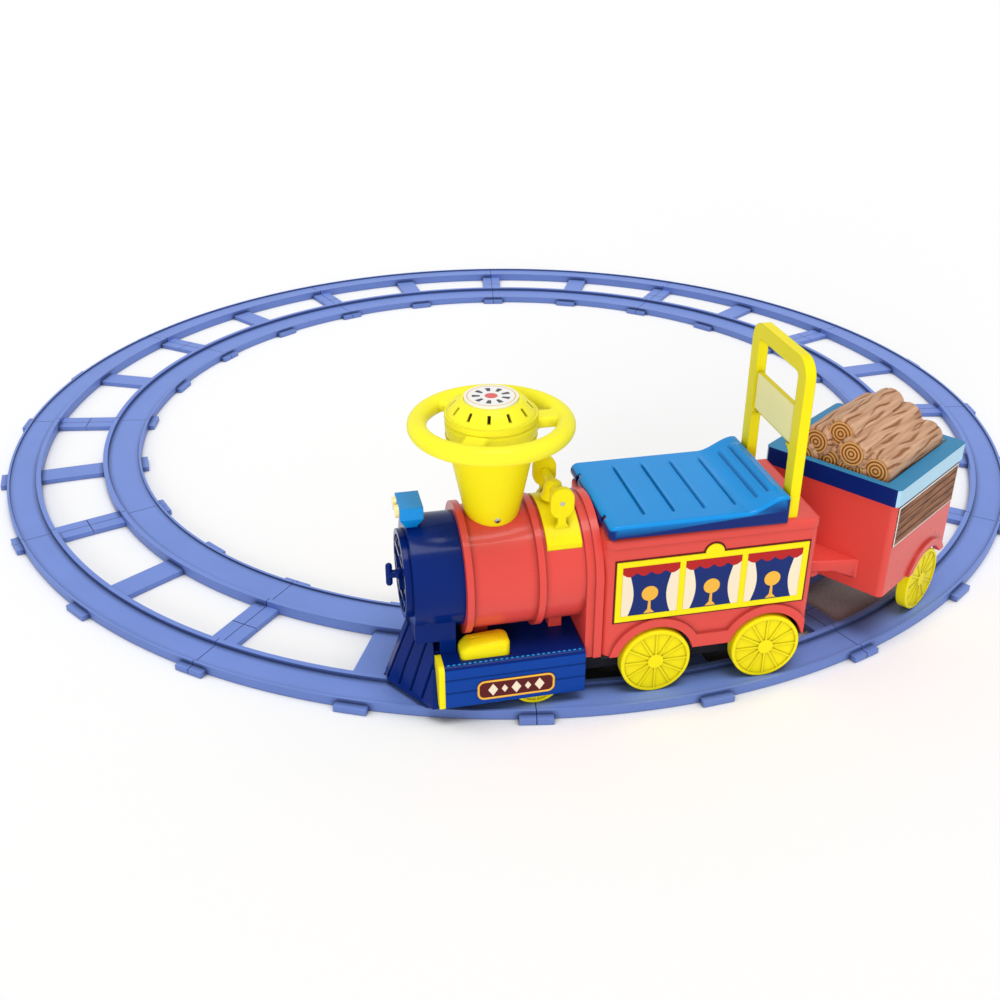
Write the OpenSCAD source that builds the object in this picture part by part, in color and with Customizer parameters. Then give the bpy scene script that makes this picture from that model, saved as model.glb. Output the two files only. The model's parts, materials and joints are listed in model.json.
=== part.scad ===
// Ride-on train set for a small child: a battery locomotive with a seat and a steering wheel,
// a log tender on a hitch pin, and a ring of track sections that clip together.
// Millimetres. +Z is up, and the origin is on the floor at the centre of the ring.
// The locomotive stands on the -Y side of the ring and faces -X.
// In the pieces' own coordinates x runs forward, y to the left (the outside of the ring) and z up.

/* [Track] */
// Radius of the line that the middle of the train runs along
run_r = 828; // [780:1:900]
// Number of track sections in the ring
section_count = 12; // [8:1:12]
// Angle from the train to the first joint ahead of it
joint_angle = 10; // [0:0.5:29]
// From the running line out to the outer edge of the track
outer_reach = 122; // [118:1:130]
// From the running line in to the inner edge of the track
inner_reach = 113; // [111:1:122]
// Height of the running surface above the floor
run_h = 11; // [8:0.5:16]
// Wall of the hollow track moulding
track_wall = 4; // [2.5:0.5:5]
// Width of the guide rail on the strip
rail_w = 8; // [5:0.5:10]
// Height of the guide rail above the running surface
rail_h = 6; // [3:0.5:8]
// Width of a sleeper
sleeper_w = 44; // [30:1:60]
// Height of a sleeper
sleeper_h = 8; // [6:0.5:11]
// Length of a clip ear on the edge of the track
ear_l = 46; // [36:1:60]
// How far a clip ear stands out
ear_d = 12; // [8:0.5:18]

/* [Layout] */
// From the middle of the cab axles forward to where the train touches the running line
foot_u = 80; // [60:1:95]
// From the middle of the cab axles back to the hitch pin
hitch_back = 174; // [170:1:190]
// Angle between the locomotive and the tender on the curve
tender_turn = 35; // [28:0.5:36]
// From the hitch pin back to the tender axle
tender_reach = 174; // [170:1:190]

/* [Wheels] */
// Diameter of the cab and tender wheels
wheel_d = 97; // [88:0.5:104]
// Width of the cab and tender wheels
wheel_w = 16; // [12:0.5:18]
// From the middle of the locomotive to the outer face of a cab wheel
wheel_out = 96; // [94:0.5:100]
// Diameter of the small leading wheels
front_wheel_d = 70; // [60:0.5:73]
// Width of the leading wheels
front_wheel_w = 10; // [8:0.5:12]
// Distance between the two cab axles
cab_axle_span = 157; // [146:1:166]
// From the middle of the cab axles forward to the leading axle
front_axle_u = 240; // [228:1:246]
// Diameter of the steel axles
axle_d = 8; // [6:0.5:10]
// Number of spokes moulded on a wheel
spoke_count = 12; // [8:1:16]

/* [Cab] */
// From the middle of the cab axles forward to the front wall
cab_front = 153; // [148:1:160]
// From the middle of the cab axles back to the rear wall
cab_rear = 140; // [136:1:146]
// Width of the cab
cab_w = 178; // [172:1:184]
// Height of the cab's lower edge
cab_bottom = 73; // [68:1:80]
// Height of the cab's flat top
cab_top = 251; // [245:1:275]
// Wall of the cab moulding
cab_wall = 6; // [4:0.5:8]
// Radius of the cab's upright corners
cab_corner = 14; // [10:0.5:20]
// Room between a wheel and its arch
arch_gap = 5; // [3:0.5:6]
// Width of the lip round a wheel arch
fender_w = 12; // [6:0.5:14]
// How far the arch lip stands out
fender_out = 4; // [2:0.5:6]

/* [Boiler] */
// Diameter of the boiler barrel
boiler_d = 164; // [156:1:170]
// Height of the boiler's axis
boiler_z = 184; // [180:1:188]
// From the middle of the cab axles forward to the boiler's front end
boiler_front = 331; // [326:1:336]
// Wall of the boiler moulding
boiler_wall = 4; // [3:0.5:6]
// How far the boiler bands stand out
band_out = 6; // [2:0.5:7]
// Width of a boiler band
band_w = 9; // [6:0.5:12]
// Diameter of the smokebox
smokebox_d = 152; // [144:1:156]
// From the middle of the cab axles forward to the smokebox front
smokebox_front = 396; // [388:1:404]
// Diameter of the smokebox door
door_d = 118; // [100:1:130]

/* [Deck] */
// From the middle of the cab axles forward to the front of the running deck
deck_front = 364; // [358:1:370]
// Width of the running deck
deck_w = 191; // [188:0.5:196]
// Height of the deck's top
deck_top = 92; // [90:0.5:98]
// Height of the lower edge of the deck's skirts
skirt_bottom = 28; // [22:1:40]
// Thickness of the deck and its skirts
deck_t = 5; // [3:0.5:5.5]
// Length of a foot pedal
pedal_l = 66; // [56:1:72]
// From a foot pedal to the deck's side
pedal_margin = 13.5; // [11:0.5:18]
// Height of a foot pedal above the deck
pedal_h = 23; // [16:1:28]
// Travel of a foot pedal
pedal_travel = 5; // [3:0.5:6]

/* [Steering] */
// From the middle of the cab axles forward to the steering axis
steer_u = 282; // [276:1:286]
// Height of the middle of the steering wheel's rim
steer_z = 387; // [370:1:410]
// Outer diameter of the steering wheel
steer_d = 211; // [196:1:224]
// Thickness of the steering wheel's rim
rim_d = 25; // [18:0.5:28]
// Diameter of the steering wheel's hub
hub_d = 117; // [106:1:124]
// Height of the domed hub cover
cover_h = 26; // [20:1:34]
// Diameter of the horn button
horn_d = 68; // [56:1:76]
// Travel of the horn button
horn_travel = 3; // [2:0.5:4]
// Diameter of the column at the boiler
column_foot_d = 72; // [60:1:80]
// Diameter of the steering shaft
shaft_d = 14; // [10:0.5:18]

/* [Seat] */
// Width of the seat lid
seat_w = 186; // [180:1:192]
// Height of the seat's front part above the cab top
seat_h = 22; // [20:0.5:28]
// How much higher the seat is at the rear
seat_rise = 18; // [8:1:26]
// From the middle of the cab axles back to the seat's rear edge
seat_rear = 90; // [84:1:91]
// Wall of the seat moulding
seat_wall = 4; // [3:0.5:5]
// Diameter of the seat's hinge pin
seat_pin_d = 6; // [4:0.5:7]
// Width of the backrest
back_w = 162; // [150:1:168]
// Height of the backrest above the cab top
back_h = 217; // [200:1:240]
// Thickness of the backrest frame
back_t = 14; // [10:0.5:18]
// Width of a backrest upright
back_bar = 21; // [16:0.5:26]
// Height of the backrest's panel
back_panel_h = 54; // [40:1:70]

/* [Tender] */
// From the tender axle forward to the front wall
tender_front = 137; // [130:1:142]
// From the tender axle back to the rear wall
tender_rear = 67; // [64:1:84]
// Width of the tender
tender_w = 202; // [196:1:204]
// Height of the tender's lower edge
tender_bottom = 90; // [84:1:100]
// Height of the tender's upper edge under the rim
tender_top = 236; // [226:1:250]
// Wall of the tender moulding
tender_wall = 6; // [4:0.5:8]
// Height of the rim round the tender's top
rim_h = 26; // [22:1:32]
// Width of the rim along the tender's sides
rim_side = 24; // [16:1:28]
// From the middle of the tender to the outer face of a tender wheel
tender_wheel_out = 103; // [101:0.5:106]

/* [Drive] */
// Tooth size of the drive gears: pitch diameter over the number of teeth
gear_module = 2.5; // [2.4:0.05:2.6]
// Teeth of the gear on the driven wheel
gear_teeth = 28; // [26:1:28]
// Teeth of the motor pinion
pinion_teeth = 14; // [13:1:15]
// Face width of the gears
gear_w = 9; // [6:0.5:10]
// Diameter of the motor
motor_d = 36; // [30:0.5:40]
// Length of the motor
motor_l = 57; // [45:1:65]

/* [Hidden] */
$fn = 64;

// Overrun of every cut
over = 1;
// Running gap between pieces that move past each other
gap = 0.3;
// Radial clearance of a pin or axle in its bore
fit = 0.05;

track_blue = [0.42, 0.46, 0.78];
navy = [0.03, 0.10, 0.38];
bright_blue = [0.05, 0.32, 0.78];
red = [0.87, 0.16, 0.13];
yellow = [0.98, 0.86, 0.08];
steel = [0.70, 0.71, 0.73];
dark = [0.13, 0.13, 0.15];
wood_brown = [0.66, 0.44, 0.24];
maroon = [0.40, 0.08, 0.08];

// Leading wheels, just inside the deck's skirts
front_wheel_side_gap = 2.5;
front_wheel_out = deck_w / 2 - deck_t - front_wheel_side_gap;

// Track: its guide rails keep clear of the inner faces of the locomotive's wheels on the curve
section_angle = 360 / section_count;
guide_gap = 8;
wheel_faces = [[front_axle_u - foot_u, front_wheel_out - front_wheel_w],
               [cab_axle_span / 2 - foot_u, wheel_out - wheel_w],
               [-cab_axle_span / 2 - foot_u, wheel_out - wheel_w]];
outer_in_r = min([for (w = wheel_faces) norm([run_r + w[1], w[0]])]) - guide_gap - rail_w;
outer_out_r = run_r + outer_reach;
inner_out_r = max([for (w = wheel_faces) norm([run_r - w[1], w[0]])]) + guide_gap + rail_w;
inner_in_r = run_r - inner_reach;
sleeper_split_r = (outer_in_r + inner_out_r) / 2;
lip_w = track_wall;
lip_h = rail_h / 2;
joint_gap = 0.5;
ear_root = track_wall / 2;
ear_h = sleeper_h;
tongue_l = ear_l / 4;
tongue_w = ear_d / 3;
tongue_h = ear_h / 2;

// Wheels and axles
wheel_r = wheel_d / 2;
front_wheel_r = front_wheel_d / 2;
axle_z = run_h + gap + wheel_r;
front_axle_z = run_h + gap + front_wheel_r;
cab_axles = [cab_axle_span / 2, -cab_axle_span / 2];
wheel_hub_wall = 7;
wheel_hub_r = axle_d / 2 + wheel_hub_wall;
wheel_rim_w = 5;
wheel_plate_t = 4;
wheel_recess = 2;
wheel_edge = 1.2;
wheel_cap = 3;
spoke_w = 3;
hub_gap = 0.5;
arch_r = wheel_r + arch_gap;

// Chassis: an upturned channel that carries the axles
chassis_room = 23;
chassis_half = cab_w / 2 - cab_wall - chassis_room;
chassis_t = 6;
chassis_plate_t = 4;
chassis_drop = 12;
chassis_setback = 12;
chassis_rear = cab_rear - chassis_setback;
sill_l = 28;

// Boiler, firebox steps and smokebox
boiler_r = boiler_d / 2;
band_r = boiler_r + band_out;
band_gap = 5;
firebox_step = 11;
boiler_rear = cab_front + 2 * firebox_step;
saddle_w = 64;
saddle_l = 18;
smokebox_r = smokebox_d / 2;
smokebox_base_half = 62;
smokebox_lift = 20;
smokebox_base_gap = 3;
door_t = 6;
door_ring_w = 7;
door_ring_t = 3;
strap_h = 7;
handle_l = 44;
handle_w = 6;
rivet_d = 7;
rivet_count = 12;

// Headlamp on the smokebox
lamp_l = 30;
lamp_w = 46;
lamp_h = 17;
lamp_neck_h = 14;
lamp_foot_l = 16;
lamp_foot_w = 28;
lamp_setback = 22;
lamp_back = smokebox_front - lamp_setback;
lens_d = 26;
lens_t = 5;

// Cowcatcher
cow_tip = 66;
cow_top_l = 35;
cow_top_half = 56;
cow_foot_half = 84;
cow_nose_half = 8;
cow_plate_t = 7;
cow_floor_gap = 3;
slat_count = 9;
slat_gap = 4;
slat_depth = 5;

// Deck details
deck_gap = 1;
deck_rear = boiler_rear + deck_gap;
deck_edge_r = 8;
skirt_groove = 2.5;
skirt_groove_shares = [0.36, 0.68];
cap_t = 8;
cap_gap = 1.5;
cap_w = deck_w / 2 - cow_top_half - cap_gap;
pedal_rear = 274;
pedal_room = 2.5;
pedal_under = boiler_z - deck_top - pedal_h - pedal_room;
pedal_in = sqrt(max(0, pow(boiler_r, 2) - pow(pedal_under, 2)));
pedal_out = deck_w / 2 - pedal_margin;
pedal_w = pedal_out - pedal_in;
pedal_corner = 5;
pedal_edge = 7;
pedal_flange = 3;
pedal_flange_t = 5.5;
pedal_nose_share = 0.26;
pedal_rear_share = 0.85;
pedal_brow_share = 0.8;
pedal_toe_share = 0.25;
plate_l = 104;
plate_h = 30;
plate_t = 1.5;

// Steering
rim_r = steer_d / 2 - rim_d / 2;
hub_bottom = steer_z - rim_d / 2;
hub_t = 21;
hub_top = hub_bottom + hub_t;
spoke_bar = 30;
spoke_t = 14;
column_inset = 0.5;
column_top_r = hub_d / 2 - column_inset;
column_wall = 4;
column_plate = 6;
shaft_in_hub = 14;
shaft_below = 12;
cover_t = 3;
cover_wall_h = 8;
cover_step = 3;
cover_top_w = 5;
cover_top_r = horn_d / 2 + cover_top_w;
horn_flange = 2.5;
horn_t = 4;
horn_proud = 3;
slot_count = 12;
slot_w = 4;
slot_l = 14;

// Bell on its yoke
bell_u = 201;
yoke_w = 46;
yoke_t = 4.5;
yoke_half = 66;
arm_in = 42;
arm_t = 8;
arm_w = 31;
arm_h = 42;
flare_w = 34;
flare_h = 17;
neck_w = 11;
bell_pin_d = 6;
bell_pin_rise = 24;
bell_r = 17;
bell_crown_r = 11;
bell_waist_share = 1.2;
bell_drop = 15;
bell_up = 9;
bell_side_gap = 2;

// Cab details
crown_h = 13;
crown_out = 1.5;
shoulder_r = 6;
sill_band_h = 20;
frame_t = 2;
frame_bar = 8;
frame_margin = 15;
frame_low = 127;
frame_drop = 33;
hatch_margin = 22;
hatch_front = cab_front - hatch_margin;
hatch_rear = 75;
hatch_side_margin = 17;
hatch_half = cab_w / 2 - hatch_side_margin;
hatch_corner = 10;
tow_w = 40;
tow_t = 8;
tow_z = 112;
tow_pin_d = 8;
tow_pin_head = 14;
tow_pin_head_t = 5;
tow_rib_h = 18;
tow_end = 12;

// Seat lid and its hinge
pivot_setback = 11.5;
pivot_u = cab_front - pivot_setback;
pivot_rise = seat_h / 2;
pivot_z = cab_top + pivot_rise;
nose_r = pivot_rise - gap;
lug_r = nose_r - seat_wall - gap;
lug_v = 58;
lug_t = 8;
lug_slot_angle = 60;
cheek_t = 6;
seat_base_z = cab_top + gap;
seat_front_z = pivot_z + nose_r;
sweep_start = 20;
sweep_margin = 8;
sweep_end = seat_rear - sweep_margin;
seat_rear_round = 6;
sweep_steps = 12;
groove_count = 5;
groove_d = 9;
groove_depth = 2.2;
groove_half_share = 0.76;

// Backrest
back_setback = 10;
back_u = seat_rear + back_setback;
back_round = 26;
back_fillet = 14;
back_panel_low = 94;
back_panel_t = 6;
tenon_l = 20;
tenon_t = 9;
tenon_w = 14;
tenon_gap = 0.2;

// Tender details
tender_corner = 8;
rim_over = 2.5;
rim_wall = 12;
floor_t = 6;
well_roof = 5;
floor_z = axle_z + arch_r + well_roof;
post_w = 14;
tray_t = 14;
tray_gap = 1;
tray_drop = 10;
tray_z = tender_top - tray_drop;
tray_half = tender_w / 2 + rim_over - rim_side - tray_gap;
well_w = 20;
log_shell = 8;
log_sink = 3;
log_over_share = 0.9;
// Logs: diameter and sides as shares of the tray's half width, heights as shares of the diameter
log_share = 0.535;
log_d = tray_half * log_share;
log_side_shares = [-0.70, -0.24, 0.24, 0.68, -0.47, 0.20, -0.07];
log_rise_shares = [0, 0, 0, 0.25, 0.62, 0.60, 1.14];
plank_t = 1.2;
plank_h = 62;
plank_margin = 8;
bar_h = 30;
bar_w = 34;
eye_t = 8;
eye_d = 26;

// Battery, motor and gears
battery_l = 70;
battery_w = 47;
battery_h = 100;
battery_u = 30;
tab_l = 6;
tab_w = 12;
tab_h = 7;
gear_backlash = 0.4;
gear_angle = 25;
tip_share = 0.8;
root_share = 1.0;
flank_steps = 3;
pinion_dir = 60;
gear_center = gear_module * (gear_teeth + pinion_teeth) / 2;
gear_side_gap = 2.5;
gear_in = chassis_half + hub_gap + gear_side_gap;
gear_out = gear_in + gear_w;
gear_hub_r = wheel_hub_r;
gear_hub_gap = 0.5;
pinion_u = -cab_axle_span / 2 + gear_center * cos(pinion_dir);
pinion_z = axle_z + gear_center * sin(pinion_dir);
motor_shaft_d = 5;
motor_nose_d = 14;
motor_nose_l = 6;
mount_t = 5;
mount_foot = 24;
mount_setback = 10;
mount_v = chassis_half - mount_setback;
mount_half = 26;
mount_rise = 24;

two_digits = function (n) str(n < 10 ? "0" : "", n);
section_names = [for (i = [1:section_count]) str("track_section_", two_digits(i))];
wheel_names = ["front_left_wheel", "front_right_wheel", "middle_left_wheel", "middle_right_wheel",
               "rear_left_wheel", "rear_right_wheel"];

// Places a piece of the locomotive on the ring
module on_loco() {
    translate([0, -run_r, 0]) rotate(180) translate([-foot_u, 0, 0]) children();
}

// Places a piece of the tender behind the locomotive, turned at the hitch pin
module on_tender() {
    on_loco() translate([-hitch_back, 0, 0]) rotate(tender_turn)
        translate([-tender_reach, 0, 0]) children();
}

module both_sides() {
    children();
    mirror([0, 1, 0]) children();
}

// Box between two corners
module box(low, high) {
    translate(low) cube(high - low);
}

// Round bar along x, and along y
module bar_x(d, x0, x1) {
    translate([x0, 0, 0]) rotate([0, 90, 0]) cylinder(d = d, h = x1 - x0);
}

module bar_y(d, y0, y1) {
    translate([0, y1, 0]) rotate([90, 0, 0]) cylinder(d = d, h = y1 - y0);
}

// Outline in y and z carried along x, and outline in x and z carried along y
module along_x(x0, x1) {
    translate([x0, 0, 0]) rotate([90, 0, 90]) linear_extrude(x1 - x0) children();
}

module along_y(y0, y1) {
    translate([0, y1, 0]) rotate([90, 0, 0]) linear_extrude(y1 - y0) children();
}

// Rectangle with round corners, centred
module round_rect(size, r) {
    square([size.x - 2 * r, size.y], center = true);
    square([size.x, size.y - 2 * r], center = true);
    for (sx = [-1, 1], sy = [-1, 1])
        translate([sx * (size.x / 2 - r), sy * (size.y / 2 - r)]) circle(r);
}

// Rectangle from low to high with only its upper corners round
module arch_rect(half, low, high, r) {
    translate([-half, low]) square([2 * half, high - r - low]);
    translate([-half + r, low]) square([2 * (half - r), high - low]);
    for (s = [-1, 1])
        translate([s * (half - r), high - r]) circle(r);
}

// Track section: two hollow strips, a sleeper in the middle, half a sleeper at each end and clip ears.
// The end at angle zero carries the outer half of the joint sleeper, the other end the inner half.
module strip(lip_r, rail_r) {
    s = sign(rail_r - lip_r);
    rotate_extrude(angle = section_angle) polygon([
        [lip_r, 0], [lip_r, run_h + lip_h], [lip_r + s * lip_w, run_h + lip_h], [lip_r + s * lip_w, run_h],
        [rail_r - s * rail_w, run_h], [rail_r - s * rail_w, run_h + rail_h], [rail_r, run_h + rail_h],
        [rail_r, 0], [rail_r - s * track_wall, 0], [rail_r - s * track_wall, run_h - track_wall],
        [lip_r + s * track_wall, run_h - track_wall], [lip_r + s * track_wall, 0]]);
}

module sleeper(r0, r1, y0, y1) {
    difference() {
        box([r0, y0, 0], [r1, y1, sleeper_h]);
        box([r0 + track_wall, y0 + track_wall, -over],
            [r1 - track_wall, y1 - track_wall, sleeper_h - track_wall]);
    }
}

// Ear between two angles of the edge at radius r; s is 1 on the outer edge and -1 on the inner edge
module ear(r, s, y0, y1) {
    r0 = min(r - s * ear_root, r + s * ear_d);
    r1 = max(r - s * ear_root, r + s * ear_d);
    box([r0, y0, 0], [r1, y1, ear_h]);
}

module ear_tongue(r, s, play) {
    mid = r + s * ear_d * 2 / 3;
    box([mid - tongue_w / 2 - play, -tongue_l - play, tongue_h / 2 - play],
        [mid + tongue_w / 2 + play, over, tongue_h * 3 / 2 + play]);
}

module track_section(i) {
    half = sleeper_w / 2;
    edges = [[outer_out_r, 1], [inner_in_r, -1]];
    color(track_blue) rotate(270 - joint_angle + i * section_angle) difference() {
        union() {
            strip(outer_out_r, outer_in_r);
            strip(inner_in_r, inner_out_r);
            rotate(section_angle / 2) sleeper(inner_out_r - ear_root, outer_in_r + ear_root, -half, half);
            sleeper(sleeper_split_r, outer_in_r + ear_root, 0, half);
            sleeper(sleeper_split_r, outer_in_r - joint_gap, -half, track_wall);
            rotate(section_angle) {
                sleeper(inner_out_r - ear_root, sleeper_split_r - joint_gap, -half, 0);
                sleeper(inner_out_r + joint_gap, sleeper_split_r - joint_gap, -track_wall, half);
            }
            for (e = edges) {
                rotate(section_angle / 2) ear(e[0], e[1], -ear_l / 2, ear_l / 2);
                ear(e[0], e[1], 0, ear_l / 2);
                ear_tongue(e[0], e[1], 0);
                rotate(section_angle) ear(e[0], e[1], -ear_l / 2, 0);
            }
        }
        for (e = edges)
            rotate(section_angle) ear_tongue(e[0], e[1], joint_gap);
    }
}

// Wheel with its outer face at y = 0: a dished disc with a rim, moulded spokes and a blind hub
module wheel(r, w, hub_l) {
    bore_r = axle_d / 2 + fit;
    back = wheel_recess + wheel_plate_t;
    rotate([-90, 0, 0]) {
        rotate_extrude() polygon([
            [0, 0], [wheel_hub_r, 0], [wheel_hub_r, -wheel_recess], [r - wheel_rim_w, -wheel_recess],
            [r - wheel_rim_w, 0], [r - wheel_edge, 0], [r, -wheel_edge], [r, -w], [r - wheel_rim_w, -w],
            [r - wheel_rim_w, -back], [wheel_hub_r, -back], [wheel_hub_r, -hub_l], [bore_r, -hub_l],
            [bore_r, -wheel_cap], [0, -wheel_cap]]);
        for (i = [0:spoke_count - 1])
            rotate(i * 360 / spoke_count)
                box([wheel_hub_r - wheel_edge, -spoke_w / 2, -back + wheel_edge],
                    [r - wheel_rim_w + wheel_edge, spoke_w / 2, -wheel_recess / 4]);
    }
}

module loco_wheel(name) {
    front = name[0] == "f";
    left = len([for (c = name) if (c == "g") c]) == 0;
    u = front ? front_axle_u : name[0] == "m" ? cab_axles[0] : cab_axles[1];
    z = front ? front_axle_z : axle_z;
    out = front ? front_wheel_out : wheel_out;
    driven = name == "rear_left_wheel";
    hub_l = out - (driven ? gear_out : chassis_half + hub_gap);
    color(yellow) on_loco() translate([u, 0, z]) mirror([0, left ? 0 : 1, 0]) translate([0, out, 0])
        wheel(front ? front_wheel_r : wheel_r, front ? front_wheel_w : wheel_w, hub_l);
}

module axle(u, z, out) {
    half = out - wheel_cap - hub_gap;
    color(steel) translate([u, 0, z]) bar_y(axle_d, -half, half);
}

module chassis_frame() {
    side_low = min(axle_z, front_axle_z) - chassis_drop;
    plate_z = cab_bottom - chassis_plate_t;
    sills = [[-cab_rear, -chassis_rear + over], [-sill_l / 2, sill_l / 2],
             [cab_front - sill_l / 2, cab_front]];
    color(dark) on_loco() difference() {
        union() {
            box([-chassis_rear, -chassis_half, plate_z], [deck_front, chassis_half, cab_bottom]);
            both_sides()
                box([-chassis_rear, chassis_half - chassis_t, side_low],
                    [deck_front, chassis_half, cab_bottom]);
            for (s = sills)
                box([s[0], -cab_w / 2 + over, plate_z], [s[1], cab_w / 2 - over, cab_bottom]);
            for (u = [deck_rear + chassis_t, deck_front - 2 * chassis_t])
                box([u, -chassis_half, plate_z], [u + chassis_t, chassis_half, deck_top - deck_t]);
            box([deck_front - chassis_t, -chassis_half, side_low],
                [deck_front, chassis_half, deck_top - deck_t]);
        }
        for (a = [[front_axle_u, front_axle_z], [cab_axles[0], axle_z], [cab_axles[1], axle_z]])
            translate([a[0], 0, a[1]]) bar_y(axle_d + 2 * fit, -cab_w, cab_w);
    }
}

module battery() {
    color(dark) on_loco() translate([battery_u, 0, cab_bottom]) {
        box([0, -battery_w / 2, 0], [battery_l, battery_w / 2, battery_h]);
        for (s = [-1, 1])
            translate([battery_l / 2, s * battery_w / 4, battery_h])
                box([-tab_l / 2, -tab_w / 2, 0], [tab_l / 2, tab_w / 2, tab_h]);
    }
}

// Involute gear outline, with a tooth on the x axis
function roll(base, r) = sqrt(max(0, pow(r / base, 2) - 1)) * 180 / PI;
function involute_angle(base, r) = roll(base, r) - atan(roll(base, r) * PI / 180);
function polar(r, a) = r * [cos(a), sin(a)];

module gear_outline(teeth) {
    pitch_r = gear_module * teeth / 2;
    base_r = pitch_r * cos(gear_angle);
    root_r = pitch_r - gear_module * root_share;
    tip_r = pitch_r + gear_module * tip_share;
    play = gear_backlash / 4 / pitch_r * 180 / PI;
    start_r = max(base_r, root_r);
    radii = [for (k = [0:flank_steps]) start_r + (tip_r - start_r) * k / flank_steps];
    turn = 90 / teeth - play + involute_angle(base_r, pitch_r);
    halves = [for (r = radii) turn - involute_angle(base_r, r)];
    last = flank_steps;
    polygon([for (i = [0:teeth - 1]) let (a = i * 360 / teeth) each concat(
        [polar(root_r, a - halves[0])],
        [for (k = [0:last]) polar(radii[k], a - halves[k])],
        [for (k = [0:last]) polar(radii[last - k], a + halves[last - k])],
        [polar(root_r, a + halves[0])])]);
}

// Gear on the driven wheel, with a tooth gap towards the pinion
module drive_gear() {
    bore_d = axle_d + 2 * fit;
    color(yellow) on_loco() translate([-cab_axle_span / 2, 0, axle_z]) difference() {
        union() {
            along_y(gear_in, gear_out) rotate(pinion_dir + 180 / gear_teeth) gear_outline(gear_teeth);
            bar_y(2 * gear_hub_r, chassis_half + gear_hub_gap, gear_out);
        }
        bar_y(bore_d, chassis_half, gear_out + over);
    }
}

module drive_pinion() {
    color(steel) on_loco() translate([pinion_u, 0, pinion_z]) {
        along_y(gear_in, gear_out) rotate(pinion_dir + 180) gear_outline(pinion_teeth);
        bar_y(motor_shaft_d, mount_v - motor_nose_l, gear_in + over);
    }
}

module motor() {
    color(steel) on_loco() translate([pinion_u, 0, pinion_z]) difference() {
        union() {
            bar_y(motor_d, mount_v - motor_l, mount_v);
            bar_y(motor_nose_d, mount_v - over, mount_v + motor_nose_l);
        }
        bar_y(motor_shaft_d + 2 * fit, mount_v - motor_nose_l - over, mount_v + motor_nose_l + over);
    }
}

module motor_mount() {
    color(dark) on_loco() difference() {
        union() {
            box([pinion_u - mount_half, mount_v, cab_bottom],
                [pinion_u + mount_half, mount_v + mount_t, pinion_z + mount_rise]);
            box([pinion_u - mount_half, mount_v - mount_foot, cab_bottom],
                [pinion_u + mount_half, mount_v + mount_t, cab_bottom + mount_t]);
        }
        translate([pinion_u, 0, pinion_z])
            bar_y(motor_nose_d + 2 * fit, mount_v - over, mount_v + mount_t + over);
    }
}

// Arch outline in y and z: a round top on straight sides
module arch_outline(r, base_half, low) {
    translate([0, boiler_z]) circle(r);
    translate([-base_half, low]) square([2 * base_half, boiler_z - low]);
}

module boiler_shell() {
    mid_band = bell_u + yoke_w / 2 + band_gap;
    bands = [[boiler_front - band_w, boiler_front], [mid_band, mid_band + band_w]];
    color(red) on_loco() difference() {
        union() {
            along_x(cab_front, cab_front + firebox_step) arch_outline(band_r, band_r, cab_bottom);
            along_x(cab_front, boiler_rear)
                arch_outline(boiler_r + band_out / 2, boiler_r + band_out / 2, cab_bottom);
            translate([0, 0, boiler_z]) {
                bar_x(boiler_d, cab_front, boiler_front);
                for (b = bands)
                    bar_x(2 * band_r, b[0], b[1]);
            }
            for (u = [boiler_rear + saddle_l, boiler_front - 2 * saddle_l])
                box([u, -saddle_w / 2, deck_top], [u + saddle_l, saddle_w / 2, boiler_z]);
        }
        translate([0, 0, boiler_z])
            bar_x(boiler_d - 2 * boiler_wall, cab_front - over, boiler_front - boiler_wall);
        along_x(cab_front - over, boiler_rear - boiler_wall)
            translate([-boiler_r + boiler_wall, cab_bottom - over])
                square([boiler_d - 2 * boiler_wall, boiler_z - cab_bottom]);
        translate([steer_u, 0, boiler_z]) cylinder(d = shaft_d + 2 * fit, h = boiler_d);
    }
}

module smokebox() {
    base_rear = pedal_rear + pedal_l + smokebox_base_gap;
    base_low = deck_top + smokebox_lift;
    inner_half = smokebox_base_half - boiler_wall;
    color(navy) on_loco() difference() {
        union() {
            translate([0, 0, boiler_z]) bar_x(smokebox_d, boiler_front, smokebox_front);
            along_x(base_rear, deck_front) arch_outline(smokebox_r, smokebox_base_half, deck_top);
            along_x(base_rear, smokebox_front) arch_outline(smokebox_r, smokebox_base_half, base_low);
        }
        translate([0, 0, boiler_z])
            bar_x(smokebox_d - 2 * boiler_wall, boiler_front - over, smokebox_front - boiler_wall);
        along_x(base_rear + boiler_wall, smokebox_front - boiler_wall)
            translate([-inner_half, base_low + boiler_wall]) square([2 * inner_half, boiler_z - base_low]);
        along_x(base_rear + boiler_wall, deck_front - boiler_wall)
            translate([-inner_half, deck_top - over]) square([2 * inner_half, boiler_z - deck_top]);
    }
}

// Round door with a raised ring, rivets, two hinge straps and a crossed handle
module smokebox_door() {
    ring_r = door_d / 2 - door_ring_w;
    color(navy) on_loco() translate([smokebox_front, 0, boiler_z]) {
        bar_x(door_d, 0, door_t);
        difference() {
            bar_x(door_d, 0, door_t + door_ring_t);
            bar_x(2 * ring_r, -over, door_t + door_ring_t + over);
        }
        for (i = [0:rivet_count - 1])
            rotate([i * 360 / rivet_count, 0, 0])
                translate([0, 0, ring_r - rivet_d]) bar_x(rivet_d, 0, door_t + door_ring_t);
        for (s = [-1, 1])
            translate([0, 0, s * ring_r / 2])
                box([0, -ring_r * 3 / 4, -strap_h / 2], [door_t + door_ring_t, ring_r * 3 / 4, strap_h / 2]);
        bar_x(2 * handle_w, 0, door_t + 2 * door_ring_t);
        for (a = [45, 135])
            rotate([a, 0, 0])
                box([door_t, -handle_l / 2, -handle_w / 2],
                    [door_t + 2 * door_ring_t, handle_l / 2, handle_w / 2]);
    }
}

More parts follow.
